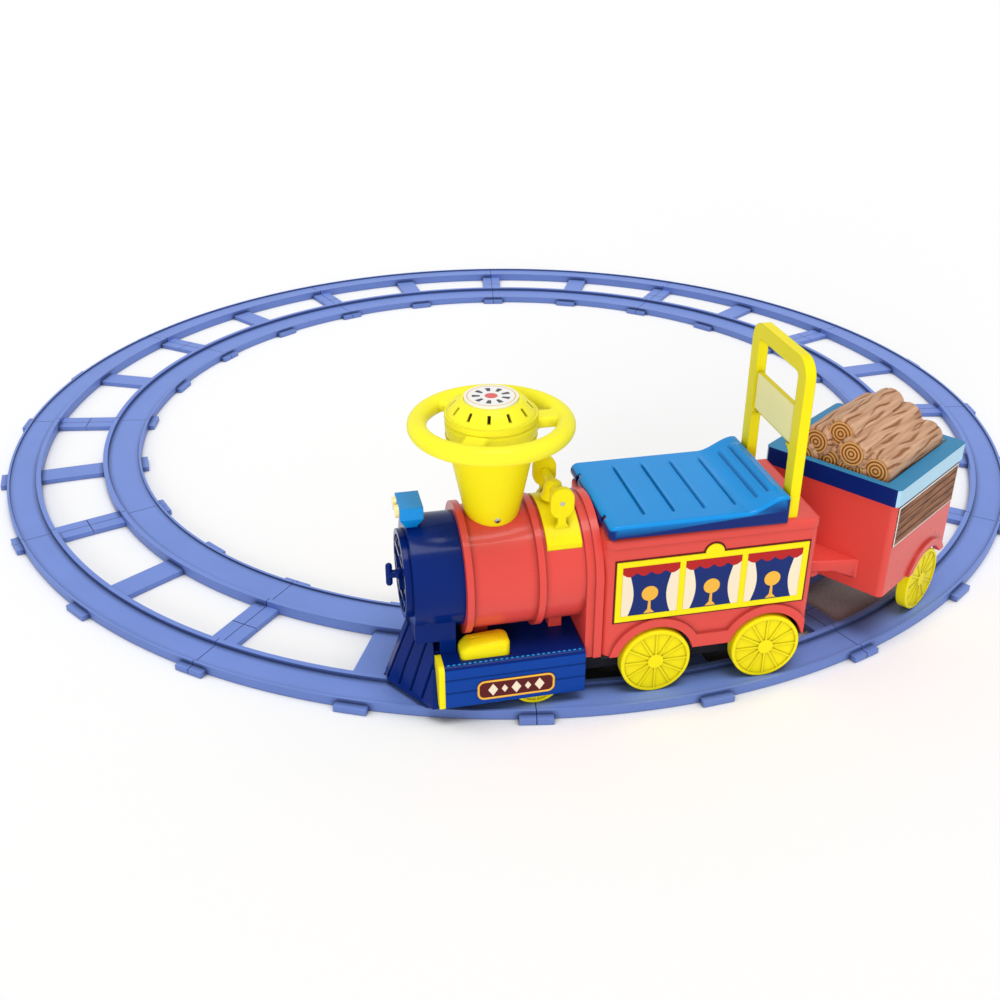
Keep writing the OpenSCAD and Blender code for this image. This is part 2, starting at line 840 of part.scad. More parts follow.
// Outline of the lamp's neck: wide under the lamp box, narrow at the foot
module neck_outline(top_half, foot_half) {
    foot = boiler_z + smokebox_r;
    polygon([[-top_half, foot + lamp_neck_h], [top_half, foot + lamp_neck_h], [foot_half, foot],
             [foot_half, boiler_z], [-foot_half, boiler_z], [-foot_half, foot]]);
}

// Box lamp on a tapered neck that stands on the smokebox
module headlamp_housing() {
    foot = boiler_z + smokebox_r;
    top = foot + lamp_neck_h;
    mid = lamp_back + lamp_l / 2;
    color(bright_blue) on_loco() difference() {
        union() {
            box([lamp_back, -lamp_w / 2, top], [lamp_back + lamp_l, lamp_w / 2, top + lamp_h]);
            translate([mid, 0, 0]) intersection() {
                along_y(-lamp_w / 2, lamp_w / 2) neck_outline(lamp_l / 2, lamp_foot_l / 2);
                along_x(-lamp_l / 2, lamp_l / 2) neck_outline(lamp_w / 2, lamp_foot_w / 2);
            }
        }
        translate([0, 0, boiler_z]) bar_x(smokebox_d, lamp_back - over, smokebox_front);
        box([smokebox_front, -lamp_w, boiler_z - over], [smokebox_front + lamp_l, lamp_w, foot]);
    }
}

module headlamp_lens() {
    z = boiler_z + smokebox_r + lamp_neck_h + lamp_h / 2;
    lens_r = min(lens_d, lamp_h) / 2;
    color(yellow) on_loco() translate([lamp_back + lamp_l, 0, z]) {
        for (s = [-1, 1])
            translate([0, s * lens_r * 5 / 4, 0]) bar_x(2 * lens_r, 0, lens_t);
    }
}

// Pointed plough in front of the deck, with grooves between its slats
module cowcatcher() {
    low = run_h + rail_h + cow_floor_gap;
    high = min(deck_top + smokebox_lift, boiler_z - smokebox_r) - gap;
    back = cap_t + gap;
    color(navy) on_loco() translate([deck_front, 0, 0]) difference() {
        union() {
            hull() {
                translate([0, 0, high - cow_plate_t]) linear_extrude(cow_plate_t)
                    polygon([[back, -cow_top_half], [back, cow_top_half], [cow_top_l, cow_nose_half],
                             [cow_top_l, -cow_nose_half]]);
                translate([0, 0, low]) linear_extrude(cow_plate_t)
                    polygon([[back, -cow_foot_half], [back, cow_foot_half],
                             [back + cow_plate_t, cow_foot_half], [cow_tip, cow_nose_half],
                             [cow_tip, -cow_nose_half], [back + cow_plate_t, -cow_foot_half]]);
            }
            box([0, -cow_top_half, low], [back + over, cow_top_half, deck_top]);
        }
        cow_slots(low, high);
    }
}

// Grooves that follow the two slanting faces of the plough
module cow_slots(low, high) {
    sweep = atan2(cow_foot_half - cow_nose_half, cow_tip - cap_t - gap - cow_plate_t);
    lean = atan2(cow_tip - cow_top_l, high - low);
    pitch = 2 * cow_foot_half / slat_count;
    for (i = [1:slat_count - 1]) {
        v = -cow_foot_half + i * pitch;
        if (abs(v) > cow_nose_half)
            translate([cow_tip - (abs(v) - cow_nose_half) / tan(sweep), v, low + cow_plate_t])
                rotate([0, -lean, 0])
                    box([-slat_depth, -slat_gap / 2, 0], [deck_w, slat_gap / 2, high]);
    }
}

module running_deck() {
    half = deck_w / 2;
    color(navy) on_loco() difference() {
        along_x(deck_rear, deck_front) arch_rect(half, skirt_bottom, deck_top, deck_edge_r);
        along_x(deck_rear - over, deck_front + over)
            translate([-half + deck_t, skirt_bottom - over])
                square([deck_w - 2 * deck_t, deck_top - deck_t - skirt_bottom + over]);
        for (share = skirt_groove_shares)
            both_sides() translate([0, half, skirt_bottom + (deck_top - skirt_bottom) * share])
                rotate([45, 0, 0])
                    box([deck_rear - over, -skirt_groove / 2, -skirt_groove / 2],
                        [deck_front + over, skirt_groove / 2, skirt_groove / 2]);
        both_sides()
            box([pedal_rear - joint_gap, pedal_out - pedal_w - joint_gap, deck_top - deck_t - over],
                [pedal_rear + pedal_l + joint_gap, pedal_out + joint_gap, deck_top + over]);
    }
}

module deck_end_caps() {
    color(yellow) on_loco() both_sides()
        along_x(deck_front, deck_front + cap_t) translate([deck_w / 2 - cap_w / 2, 0])
            arch_rect(cap_w / 2, skirt_bottom, deck_top, cap_t);
}

// Foot pedal that slides down through the deck; its flange keeps it there
module pedal() {
    nose = pedal_l * pedal_nose_share;
    below = deck_top - deck_t - gap;
    low = below - over;
    mid = pedal_out - pedal_w / 2;
    translate([pedal_rear, 0, 0]) {
        intersection() {
            along_y(pedal_out - pedal_w, pedal_out) polygon([
                [0, low], [0, deck_top + pedal_h * pedal_rear_share], [nose / 4, deck_top + pedal_h],
                [pedal_l - nose, deck_top + pedal_h * pedal_brow_share],
                [pedal_l, deck_top + pedal_h * pedal_toe_share], [pedal_l, low]]);
            translate([pedal_l / 2, mid, low])
                linear_extrude(deck_t + 2 * pedal_h) round_rect([pedal_l, pedal_w], pedal_corner);
            along_x(0, pedal_l) translate([mid, 0])
                arch_rect(pedal_w / 2, low, deck_top + pedal_h, pedal_edge);
        }
        box([-pedal_flange, pedal_out - pedal_w - pedal_flange, below - pedal_flange_t],
            [pedal_l + pedal_flange, pedal_out, below]);
    }
}

module left_pedal() {
    color(yellow) on_loco() pedal();
}

module right_pedal() {
    color(yellow) on_loco() mirror([0, 1, 0]) pedal();
}

module nameplates() {
    mid = (deck_rear + deck_front) / 2;
    color(maroon) on_loco() both_sides()
        along_y(deck_w / 2, deck_w / 2 + plate_t) translate([mid, skirt_bottom + plate_h * 3 / 4])
            round_rect([plate_l, plate_h], plate_h / 3);
}

// Conical column that stands on the boiler, hollow, with a bearing plate at its top
module steering_column() {
    foot_z = boiler_z;
    slope = (column_top_r - column_foot_d / 2) / (hub_bottom - gap - boiler_z - boiler_r);
    foot_r = column_top_r - slope * (hub_bottom - gap - foot_z);
    top = hub_bottom - gap;
    color(yellow) on_loco() translate([steer_u, 0, 0]) difference() {
        rotate_extrude() polygon([[0, foot_z], [foot_r, foot_z], [column_top_r, top], [0, top]]);
        rotate_extrude() polygon([
            [0, foot_z - over], [foot_r - column_wall, foot_z - over],
            [column_top_r - column_wall, top - column_plate], [0, top - column_plate]]);
        translate([0, 0, top - column_plate - over])
            cylinder(d = shaft_d + 2 * fit, h = column_plate + 2 * over);
        translate([0, 0, boiler_z]) bar_x(boiler_d, -boiler_d, boiler_d);
    }
}

module steering_shaft() {
    low = boiler_z + boiler_r - boiler_wall - shaft_below;
    color(steel) on_loco() translate([steer_u, 0, low])
        cylinder(d = shaft_d, h = hub_bottom + shaft_in_hub - low);
}

// Rim, three spokes and the round hub plate
module steering_wheel() {
    color(yellow) on_loco() translate([steer_u, 0, 0]) difference() {
        union() {
            translate([0, 0, steer_z]) rotate_extrude() translate([rim_r, 0]) circle(d = rim_d);
            translate([0, 0, hub_bottom]) cylinder(d = hub_d, h = hub_t);
            for (a = [60, 180, 300])
                rotate(a) box([hub_d / 4, -spoke_bar / 2, steer_z - spoke_t / 2],
                              [rim_r, spoke_bar / 2, steer_z + spoke_t / 2]);
        }
        translate([0, 0, hub_bottom - over]) cylinder(d = shaft_d + 2 * fit, h = shaft_in_hub + over);
    }
}

// Outline of the hub cover from its axis: a straight wall, then a dome up to the flat top
module cover_outline(low, inset) {
    rise = cover_h - cover_wall_h;
    dome_r = hub_d / 2 - cover_step;
    sink = (pow(dome_r, 2) - pow(cover_top_r, 2) - pow(rise, 2)) / (2 * rise);
    translate([0, low]) square([hub_d / 2 - inset, cover_wall_h - inset - low]);
    intersection() {
        translate([0, cover_wall_h - sink]) circle(sqrt(pow(dome_r, 2) + pow(sink, 2)) - inset);
        square([dome_r - inset, cover_h - inset]);
    }
}

// Domed cover with sound slots round it and a round opening for the horn button
module hub_cover() {
    slot_r = (cover_top_r + hub_d / 2) / 2;
    color(yellow) on_loco() translate([steer_u, 0, hub_top]) difference() {
        rotate_extrude() cover_outline(0, 0);
        rotate_extrude() cover_outline(-over, cover_t);
        cylinder(r = horn_d / 2 + gap, h = cover_h + over);
        for (i = [0:slot_count - 1])
            rotate((i + 1 / 2) * 360 / slot_count) translate([slot_r, 0, cover_h / 2])
                box([-slot_l / 2, -slot_w / 2, 0], [slot_l / 2, slot_w / 2, cover_h / 3]);
    }
}

module horn_button() {
    under = hub_top + cover_h - cover_t - gap;
    color("white") on_loco() translate([steer_u, 0, 0]) {
        translate([0, 0, under - horn_t]) cylinder(r = horn_d / 2 + horn_flange, h = horn_t);
        translate([0, 0, under - over]) cylinder(d = horn_d, h = cover_t + gap + horn_proud + over);
    }
}

// Strap over the boiler with two upright arms that hold the bell's pin
module bell_yoke() {
    pin_z = boiler_z + boiler_r + bell_pin_rise;
    low = boiler_z + sqrt(pow(boiler_r, 2) - pow(yoke_half, 2));
    foot_z = boiler_z + boiler_r - arm_in / 2;
    color(yellow) on_loco() translate([bell_u, 0, 0]) difference() {
        union() {
            intersection() {
                translate([0, 0, boiler_z]) bar_x(boiler_d + 2 * yoke_t, -yoke_w / 2, yoke_w / 2);
                box([-yoke_w, -yoke_half, low], [yoke_w, yoke_half, boiler_z + boiler_r + yoke_t]);
            }
            both_sides() along_y(arm_in, arm_in + arm_t) {
                translate([0, pin_z]) round_rect([arm_w, arm_h], arm_w / 2 - joint_gap);
                polygon([[-flare_w / 2, foot_z], [flare_w / 2, foot_z], [neck_w / 2, foot_z + flare_h],
                         [neck_w / 2, pin_z], [-neck_w / 2, pin_z], [-neck_w / 2, foot_z + flare_h]]);
            }
        }
        translate([0, 0, boiler_z]) bar_x(boiler_d, -boiler_d, boiler_d);
        translate([0, 0, pin_z]) bar_y(bell_pin_d + 2 * fit, -boiler_d, boiler_d);
    }
}

module bell_pin() {
    color(steel) on_loco() translate([bell_u, 0, boiler_z + boiler_r + bell_pin_rise])
        bar_y(bell_pin_d, -arm_in - arm_t, arm_in + arm_t);
}

module bell() {
    hub_half = arm_in - bell_side_gap;
    color(yellow) on_loco() translate([bell_u, 0, boiler_z + boiler_r + bell_pin_rise]) difference() {
        union() {
            rotate_extrude() polygon([
                [0, bell_up], [bell_crown_r / 2, bell_up], [bell_crown_r, bell_up / 2],
                [bell_crown_r * bell_waist_share, -bell_drop / 2], [bell_r, -bell_drop], [0, -bell_drop]]);
            bar_y(2 * bell_pin_d, -hub_half, hub_half);
        }
        bar_y(bell_pin_d + 2 * fit, -boiler_d, boiler_d);
    }
}

module cab_plan(inset) {
    translate([(cab_front - cab_rear) / 2, 0])
        round_rect([cab_front + cab_rear - 2 * inset, cab_w - 2 * inset], cab_corner - inset);
}

// Lip round a wheel arch on the left side wall
module fender(side, wall) {
    y0 = side - wall;
    y1 = side + fender_out;
    r = arch_r + fender_w;
    difference() {
        translate([0, 0, axle_z]) bar_y(2 * r, y0, y1);
        translate([0, 0, axle_z]) bar_y(2 * arch_r, y0 - over, y1 + over);
    }
}

// Straight walls under a slightly wider crown with round shoulders
module cab_body() {
    crown_z = cab_top - crown_h;
    mid = (cab_front - cab_rear) / 2;
    long = cab_front + cab_rear;
    wide = cab_w + 2 * crown_out;
    translate([0, 0, cab_bottom]) linear_extrude(crown_z + over - cab_bottom) cab_plan(0);
    translate([mid, 0, 0]) intersection() {
        translate([0, 0, crown_z]) linear_extrude(crown_h) round_rect([long, wide], cab_corner);
        along_x(-long, long) arch_rect(wide / 2, crown_z, cab_top, shoulder_r);
        along_y(-wide, wide) arch_rect(long / 2, crown_z, cab_top, shoulder_r);
    }
}

// Lips of the two wheel arches and the band that joins them along the lower edge
module cab_skirt() {
    side = cab_w / 2;
    intersection() {
        union() {
            for (u = cab_axles)
                translate([u, 0, 0]) fender(side, cab_wall / 2);
            box([cab_axles[1], side - cab_wall / 2, cab_bottom],
                [cab_axles[0], side + fender_out, cab_bottom + sill_band_h]);
        }
        box([cab_corner / 2 - cab_rear, 0, 0], [cab_front - cab_corner / 2, cab_w, cab_top]);
    }
}

module cab_shell() {
    tow_pin_u = -hitch_back;
    color(red) on_loco() difference() {
        union() {
            cab_body();
            both_sides() cab_skirt();
            both_sides() along_y(lug_v - lug_t / 2, lug_v + lug_t / 2) translate([pivot_u, 0]) {
                translate([0, pivot_z]) circle(lug_r);
                translate([-lug_r, cab_top - cab_wall / 2]) square([2 * lug_r, pivot_rise + cab_wall / 2]);
            }
            box([tow_pin_u, -tow_w / 2, tow_z], [-cab_rear + cab_wall / 2, tow_w / 2, tow_z + tow_t]);
            box([tow_pin_u + tow_w / 2, -tow_w / 2, tow_z - tow_rib_h],
                [-cab_rear + cab_wall / 2, tow_w / 2, tow_z + tow_t / 2]);
            translate([tow_pin_u, 0, tow_z]) cylinder(d = tow_w, h = tow_t);
        }
        translate([0, 0, cab_bottom - over])
            linear_extrude(cab_top - cab_wall - cab_bottom + over) cab_plan(cab_wall);
        translate([(hatch_front - hatch_rear) / 2, 0, cab_top - cab_wall - over])
            linear_extrude(cab_wall + 2 * over)
                round_rect([hatch_front + hatch_rear, 2 * hatch_half], hatch_corner);
        for (u = cab_axles)
            translate([u, 0, axle_z]) bar_y(2 * arch_r, -cab_w, cab_w);
        box([-cab_w - cab_rear, -cab_w, -wheel_d], [cab_w + cab_front, cab_w, cab_bottom]);
        both_sides() translate([-back_u, back_w / 2 - back_bar / 2, 0])
            box([-tenon_t / 2 - tenon_gap, -tenon_w / 2 - tenon_gap, cab_top - tenon_l],
                [tenon_t / 2 + tenon_gap, tenon_w / 2 + tenon_gap, cab_top + over]);
        translate([pivot_u, 0, pivot_z]) bar_y(seat_pin_d + 2 * fit, -cab_w, cab_w);
        translate([tow_pin_u, 0, tow_z - over]) cylinder(d = tow_pin_d + 2 * fit, h = tow_t + 2 * over);
    }
}

// Flat frames round the row of cab windows, one on each side
module window_frames() {
    u0 = -cab_rear + frame_margin;
    u1 = cab_front - frame_margin;
    high = cab_top - frame_drop;
    pane = (u1 - u0 - 4 * frame_bar) / 3;
    pane_h = high - frame_low - 2 * frame_bar;
    color(yellow) on_loco() both_sides()
        along_y(cab_w / 2, cab_w / 2 + frame_t) difference() {
            union() {
                translate([u0, frame_low]) square([u1 - u0, high - frame_low]);
                translate([(u0 + u1) / 2, high]) circle(d = pane / 3);
            }
            for (i = [0:2])
                translate([u0 + frame_bar + i * (pane + frame_bar), frame_low + frame_bar])
                    square([pane, pane_h]);
        }
}

module seat_hinge_pin() {
    half = lug_v + lug_t / 2 + gap + cheek_t;
    color(steel) on_loco() translate([pivot_u, 0, pivot_z]) bar_y(seat_pin_d, -half, half);
}

// Height of the seat's top: level in front, swept up towards the rear
function ease(t) = t * t * (3 - 2 * t);
function sweep(u) = ease(max(0, min(1, (sweep_start - u) / (sweep_start + sweep_end))));
function seat_top(u) = seat_front_z + seat_rise * sweep(u);
function seat_line(inset) = [for (k = [0:sweep_steps])
    let (u = sweep_start - (sweep_start + sweep_end) * k / sweep_steps) [u, seat_top(u) - inset]];

// Side outline of the seat lid, drawn in by inset, from its nose at the hinge to its rear edge
module seat_outline(inset, low) {
    r = nose_r - inset;
    rear = -seat_rear + inset;
    translate([pivot_u, pivot_z]) intersection() {
        circle(r);
        translate([-r, low - pivot_z]) square([2 * r, 2 * r + pivot_z - low]);
    }
    polygon(concat([[pivot_u, low], [pivot_u, seat_front_z - inset]], seat_line(inset),
                   [[rear, seat_top(rear) - inset - seat_rear_round], [rear, low]]));
}

module seat_lid() {
    half = seat_w / 2;
    slot_half = lug_t / 2 + joint_gap;
    cheek_in = lug_v + lug_t / 2 + gap;
    groove_half = half * groove_half_share;
    color(bright_blue) on_loco() difference() {
        union() {
            difference() {
                along_y(-half, half) seat_outline(0, seat_base_z);
                along_y(-half + seat_wall, half - seat_wall) seat_outline(seat_wall, seat_base_z - over);
            }
            both_sides() translate([pivot_u, 0, pivot_z])
                bar_y(2 * (nose_r - seat_wall / 2), cheek_in, cheek_in + cheek_t);
        }
        both_sides()
            box([pivot_u - lug_r - joint_gap, lug_v - slot_half, cab_top],
                [pivot_u + 2 * nose_r, lug_v + slot_half, pivot_z + nose_r * sin(lug_slot_angle)]);
        translate([pivot_u, 0, pivot_z]) bar_y(seat_pin_d + 2 * fit, -half, half);
        for (i = [1:groove_count]) {
            u = pivot_u - (pivot_u + seat_rear) * i / (groove_count + 1);
            translate([u, 0, seat_top(u) + groove_d / 2 - groove_depth])
                bar_y(groove_d, -groove_half, groove_half);
        }
    }
}

// Open frame with a thin panel across it, on two tenons in the cab top
module backrest_frame() {
    half = back_w / 2;
    clear = half - back_bar;
    color(yellow) on_loco() translate([-back_u, 0, cab_top]) {
        along_x(-back_t / 2, back_t / 2) difference() {
            arch_rect(half, 0, back_h, back_round);
            arch_rect(clear, -over, back_panel_low, back_fillet);
            translate([0, (back_panel_low + back_h - back_bar) / 2])
                round_rect([2 * clear, back_h - back_bar - back_panel_low], back_fillet / 2);
        }
        along_x(-back_panel_t / 2, back_panel_t / 2)
            translate([-clear - back_bar / 4, back_panel_low])
                square([2 * clear + back_bar / 2, back_panel_h]);
        both_sides() translate([0, half - back_bar / 2, 0])
            box([-tenon_t / 2, -tenon_w / 2, -tenon_l], [tenon_t / 2, tenon_w / 2, over]);
    }
}

module hitch_pin() {
    eye_top = tow_z + tow_t + gap + eye_t + gap;
    color(steel) on_loco() translate([-hitch_back, 0, 0]) {
        translate([0, 0, tow_z - tow_t / 2]) cylinder(d = tow_pin_d, h = eye_top - tow_z + tow_t / 2 + over);
        translate([0, 0, eye_top]) cylinder(d = tow_pin_head, h = tow_pin_head_t);
    }
}

// Beam on the tender's front wall with an eye over the hitch pin
module drawbar() {
    low = tow_z + tow_t + gap;
    color(red) on_tender() difference() {
        union() {
            box([tender_front, -bar_w / 2, low + eye_t - bar_h],
                [tender_front + tow_end, bar_w / 2, low + eye_t]);
            box([tender_front, -eye_d / 2, low], [tender_reach, eye_d / 2, low + eye_t]);
            translate([tender_reach, 0, low]) cylinder(d = eye_d, h = eye_t);
        }
        translate([tender_reach, 0, low - over]) cylinder(d = tow_pin_d + 2 * fit, h = eye_t + 2 * over);
    }
}

module tender_plan(inset, r) {
    translate([(tender_front - tender_rear) / 2, 0])
        round_rect([tender_front + tender_rear - 2 * inset, tender_w - 2 * inset], r);
}

// Open tub with a raised floor, wheel wells, axle bearers and corner posts under the load
module tender_tub() {
    half = tender_w / 2;
    color(red) on_tender() difference() {
        union() {
            difference() {
                translate([0, 0, tender_bottom])
                    linear_extrude(tender_top - tender_bottom) tender_plan(0, tender_corner);
                translate([0, 0, floor_z + floor_t])
                    linear_extrude(tender_top) tender_plan(tender_wall, tender_corner / 4);
                translate([0, 0, tender_bottom - over])
                    linear_extrude(floor_z - tender_bottom + over)
                        tender_plan(tender_wall, tender_corner / 4);
            }
            both_sides() fender(half, tender_wall / 2);
            both_sides() for (u = [-tender_rear + tender_wall / 2, tender_front - tender_wall / 2 - post_w])
                box([u, tray_half - post_w, floor_z], [u + post_w, half - tender_wall / 2, tray_z]);
            both_sides()
                box([-arch_r / 2, chassis_half - chassis_t, axle_z - chassis_drop],
                    [arch_r / 2, chassis_half, floor_z + over]);
        }
        translate([0, 0, axle_z]) {
            both_sides() bar_y(2 * arch_r, half - well_w, tender_w);
            bar_y(axle_d + 2 * fit, -tender_w, tender_w);
        }
        box([-tender_w, half - tender_wall, -wheel_d], [tender_w, tender_w, tender_bottom]);
        box([-tender_w, -tender_w, -wheel_d], [tender_w, tender_wall - half, tender_bottom]);
    }
}

module tender_rim() {
    color(navy) on_tender() translate([0, 0, tender_top]) difference() {
        linear_extrude(rim_h) tender_plan(-rim_over, tender_corner);
        translate([(tender_front - tender_rear) / 2, 0, -over]) linear_extrude(rim_h + 2 * over)
            round_rect([tender_front + tender_rear + 2 * (rim_over - rim_wall), 2 * (tray_half + tray_gap)],
                       tender_corner / 2);
    }
}

module plank_panels() {
    u0 = -tender_rear + plank_margin;
    u1 = tender_front - plank_margin;
    color(wood_brown) on_tender() both_sides()
        along_y(tender_w / 2, tender_w / 2 + plank_t)
            translate([u0, tender_top - plank_margin / 2 - plank_h]) square([u1 - u0, plank_h]);
}

// Heap of logs moulded on a tray that lies on the tub's posts
module log_load() {
    long0 = rim_wall - rim_over + tray_gap - tender_rear;
    long1 = tender_front - rim_wall + rim_over - tray_gap;
    trim = (long1 - long0) * (1 - log_over_share) / 2;
    first_z = tray_z + tray_t + log_d / 2 - log_sink;
    color(wood_brown) on_tender() difference() {
        union() {
            translate([(long0 + long1) / 2, 0, tray_z]) linear_extrude(tray_t)
                round_rect([long1 - long0, 2 * tray_half], tender_corner / 2);
            for (i = [0:len(log_side_shares) - 1])
                translate([0, tray_half * log_side_shares[i], first_z + log_d * log_rise_shares[i]])
                    bar_x(log_d, long0 + trim * (i % 2), long1 - trim * ((i + 1) % 2));
        }
        box([long0 + 2 * log_shell, log_d - tray_half, tray_z - over],
            [long1 - 2 * log_shell, tray_half - log_d, first_z + log_d / 4]);
    }
}

module tender_wheel() {
    translate([0, tender_wheel_out, axle_z])
        wheel(wheel_r, wheel_w, tender_wheel_out - chassis_half - hub_gap);
}

module tender_left_wheel() {
    color(yellow) on_tender() tender_wheel();
}

module tender_right_wheel() {
    color(yellow) on_tender() mirror([0, 1, 0]) tender_wheel();
}

for (i = [0:section_count - 1])
    track_section(i);
for (name = wheel_names)
    loco_wheel(name);
chassis_frame();
on_loco() axle(front_axle_u, front_axle_z, front_wheel_out);  // front_axle
on_loco() axle(cab_axles[0], axle_z, wheel_out);  // middle_axle
on_loco() axle(cab_axles[1], axle_z, wheel_out);  // rear_axle
battery();
motor();
motor_mount();
drive_pinion();
drive_gear();
smokebox();
smokebox_door();
headlamp_housing();
headlamp_lens();
cowcatcher();
boiler_shell();
running_deck();
deck_end_caps();
left_pedal();
right_pedal();
nameplates();
steering_column();
steering_shaft();
steering_wheel();
hub_cover();
horn_button();
bell_yoke();
bell_pin();
bell();
cab_shell();
window_frames();
seat_hinge_pin();
seat_lid();
backrest_frame();
hitch_pin();
drawbar();
tender_tub();
tender_rim();
plank_panels();
log_load();
on_tender() axle(0, axle_z, tender_wheel_out);  // tender_axle
tender_left_wheel();
tender_right_wheel();
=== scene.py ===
"""Looks of the ride-on train: finishes, moulded forms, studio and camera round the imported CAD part."""

import json
import logging
import math
from abc import ABC, abstractmethod
from dataclasses import dataclass, field
from enum import Enum, IntEnum

import bmesh
import bpy
import numpy as np
from bpy.types import Material, Node, NodeSocket, NodeTree, Object
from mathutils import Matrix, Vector


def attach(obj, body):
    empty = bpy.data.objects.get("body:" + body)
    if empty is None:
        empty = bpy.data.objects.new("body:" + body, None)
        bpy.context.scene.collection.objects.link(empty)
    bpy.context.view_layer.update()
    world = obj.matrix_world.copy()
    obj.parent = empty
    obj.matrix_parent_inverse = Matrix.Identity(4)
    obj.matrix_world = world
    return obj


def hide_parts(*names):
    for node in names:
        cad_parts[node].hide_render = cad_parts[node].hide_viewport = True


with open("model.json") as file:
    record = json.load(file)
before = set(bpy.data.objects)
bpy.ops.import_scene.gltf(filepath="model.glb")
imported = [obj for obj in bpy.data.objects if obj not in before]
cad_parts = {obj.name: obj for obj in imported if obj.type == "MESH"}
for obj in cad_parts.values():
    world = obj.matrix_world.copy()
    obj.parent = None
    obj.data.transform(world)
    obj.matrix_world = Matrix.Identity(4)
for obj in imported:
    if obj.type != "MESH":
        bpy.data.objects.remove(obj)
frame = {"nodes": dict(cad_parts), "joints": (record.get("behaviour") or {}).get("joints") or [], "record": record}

LOG = logging.getLogger("ride_on_train")
MM = 0.001
UP = np.array([0.0, 0.0, 1.0])
FULL_TURN = 2 * math.pi
BOTH_SIDES = (1.0, -1.0)
WELD = 1e-6
SHARP_ANGLE = math.radians(38)
MIX_COLORS = (6, 7)
MIX_RESULT = 2
Color = tuple[float, float, float]
Value = NodeSocket | float | tuple[float, ...]
Mark = float | np.ndarray


class Axis(IntEnum):
    """Local axes of a sub-assembly."""

    FORWARD = 0
    LEFT = 1
    UP = 2


@dataclass(frozen=True)
class LocalFrame:
    """Axes of a sub-assembly, forward, to its left and up, from a point on the floor in millimetres."""

    origin: np.ndarray
    forward: np.ndarray
    left: np.ndarray

    def world(self, local: np.ndarray) -> np.ndarray:
        """Points in the frame's metres, from local millimetres in the last axis."""
        place = self.origin + local[..., :1] * self.forward + local[..., 1:2] * self.left
        return (place + local[..., 2:] * UP) * MM

    def turned(self, way: np.ndarray) -> np.ndarray:
        """Forward, left and up of directions given along the frame's axes."""
        return np.stack([way @ self.forward, way @ self.left, way[..., 2]], axis=-1)

    def local(self, place: np.ndarray) -> np.ndarray:
        """Forward, left and up of points given in the frame's millimetres."""
        return self.turned(place - self.origin)

    def span(self, node: str) -> tuple[np.ndarray, np.ndarray]:
        """Measures a CAD node along the local axes.

        Args:
            node: Name of the node.

        Returns:
            Its lowest and its highest forward, left and up, in millimetres.
        """
        mesh = frame["nodes"][node].data
        flat = np.zeros(len(mesh.vertices) * 3, np.float32)
        mesh.vertices.foreach_get("co", flat)
        local = self.local(flat.reshape(-1, 3) / MM)
        return local.min(axis=0), local.max(axis=0)


def joint_place(name: str) -> np.ndarray:
    """Place of a joint in the frame, in millimetres."""
    return next(np.array(j["pos_m"]) / MM for j in frame["joints"] if j["name"] == name)


def locomotive_frame() -> LocalFrame:
    """Finds the axes of the locomotive.

    Returns:
        Its local frame, from the middle of its two cab axles.
    """
    middle, rear, steering = (joint_place(n) for n in ("middle_left_spin", "rear_left_spin", "steering_turn"))
    origin = np.array([(middle[0] + rear[0]) / 2, steering[1], 0.0])
    return LocalFrame(origin, np.array([-1.0, 0.0, 0.0]), np.array([0.0, -1.0, 0.0]))


def tender_frame() -> LocalFrame:
    """Finds the axes of the tender.

    Returns:
        Its local frame, from the middle of its axle.
    """
    left = next(np.array(j["axis"], float) for j in frame["joints"] if j["name"] == "tender_left_spin")
    origin = (joint_place("tender_left_spin") + joint_place("tender_right_spin")) / 2 * np.array([1, 1, 0])
    return LocalFrame(origin, np.cross(left, UP), left)


LOCO = locomotive_frame()
TENDER = tender_frame()


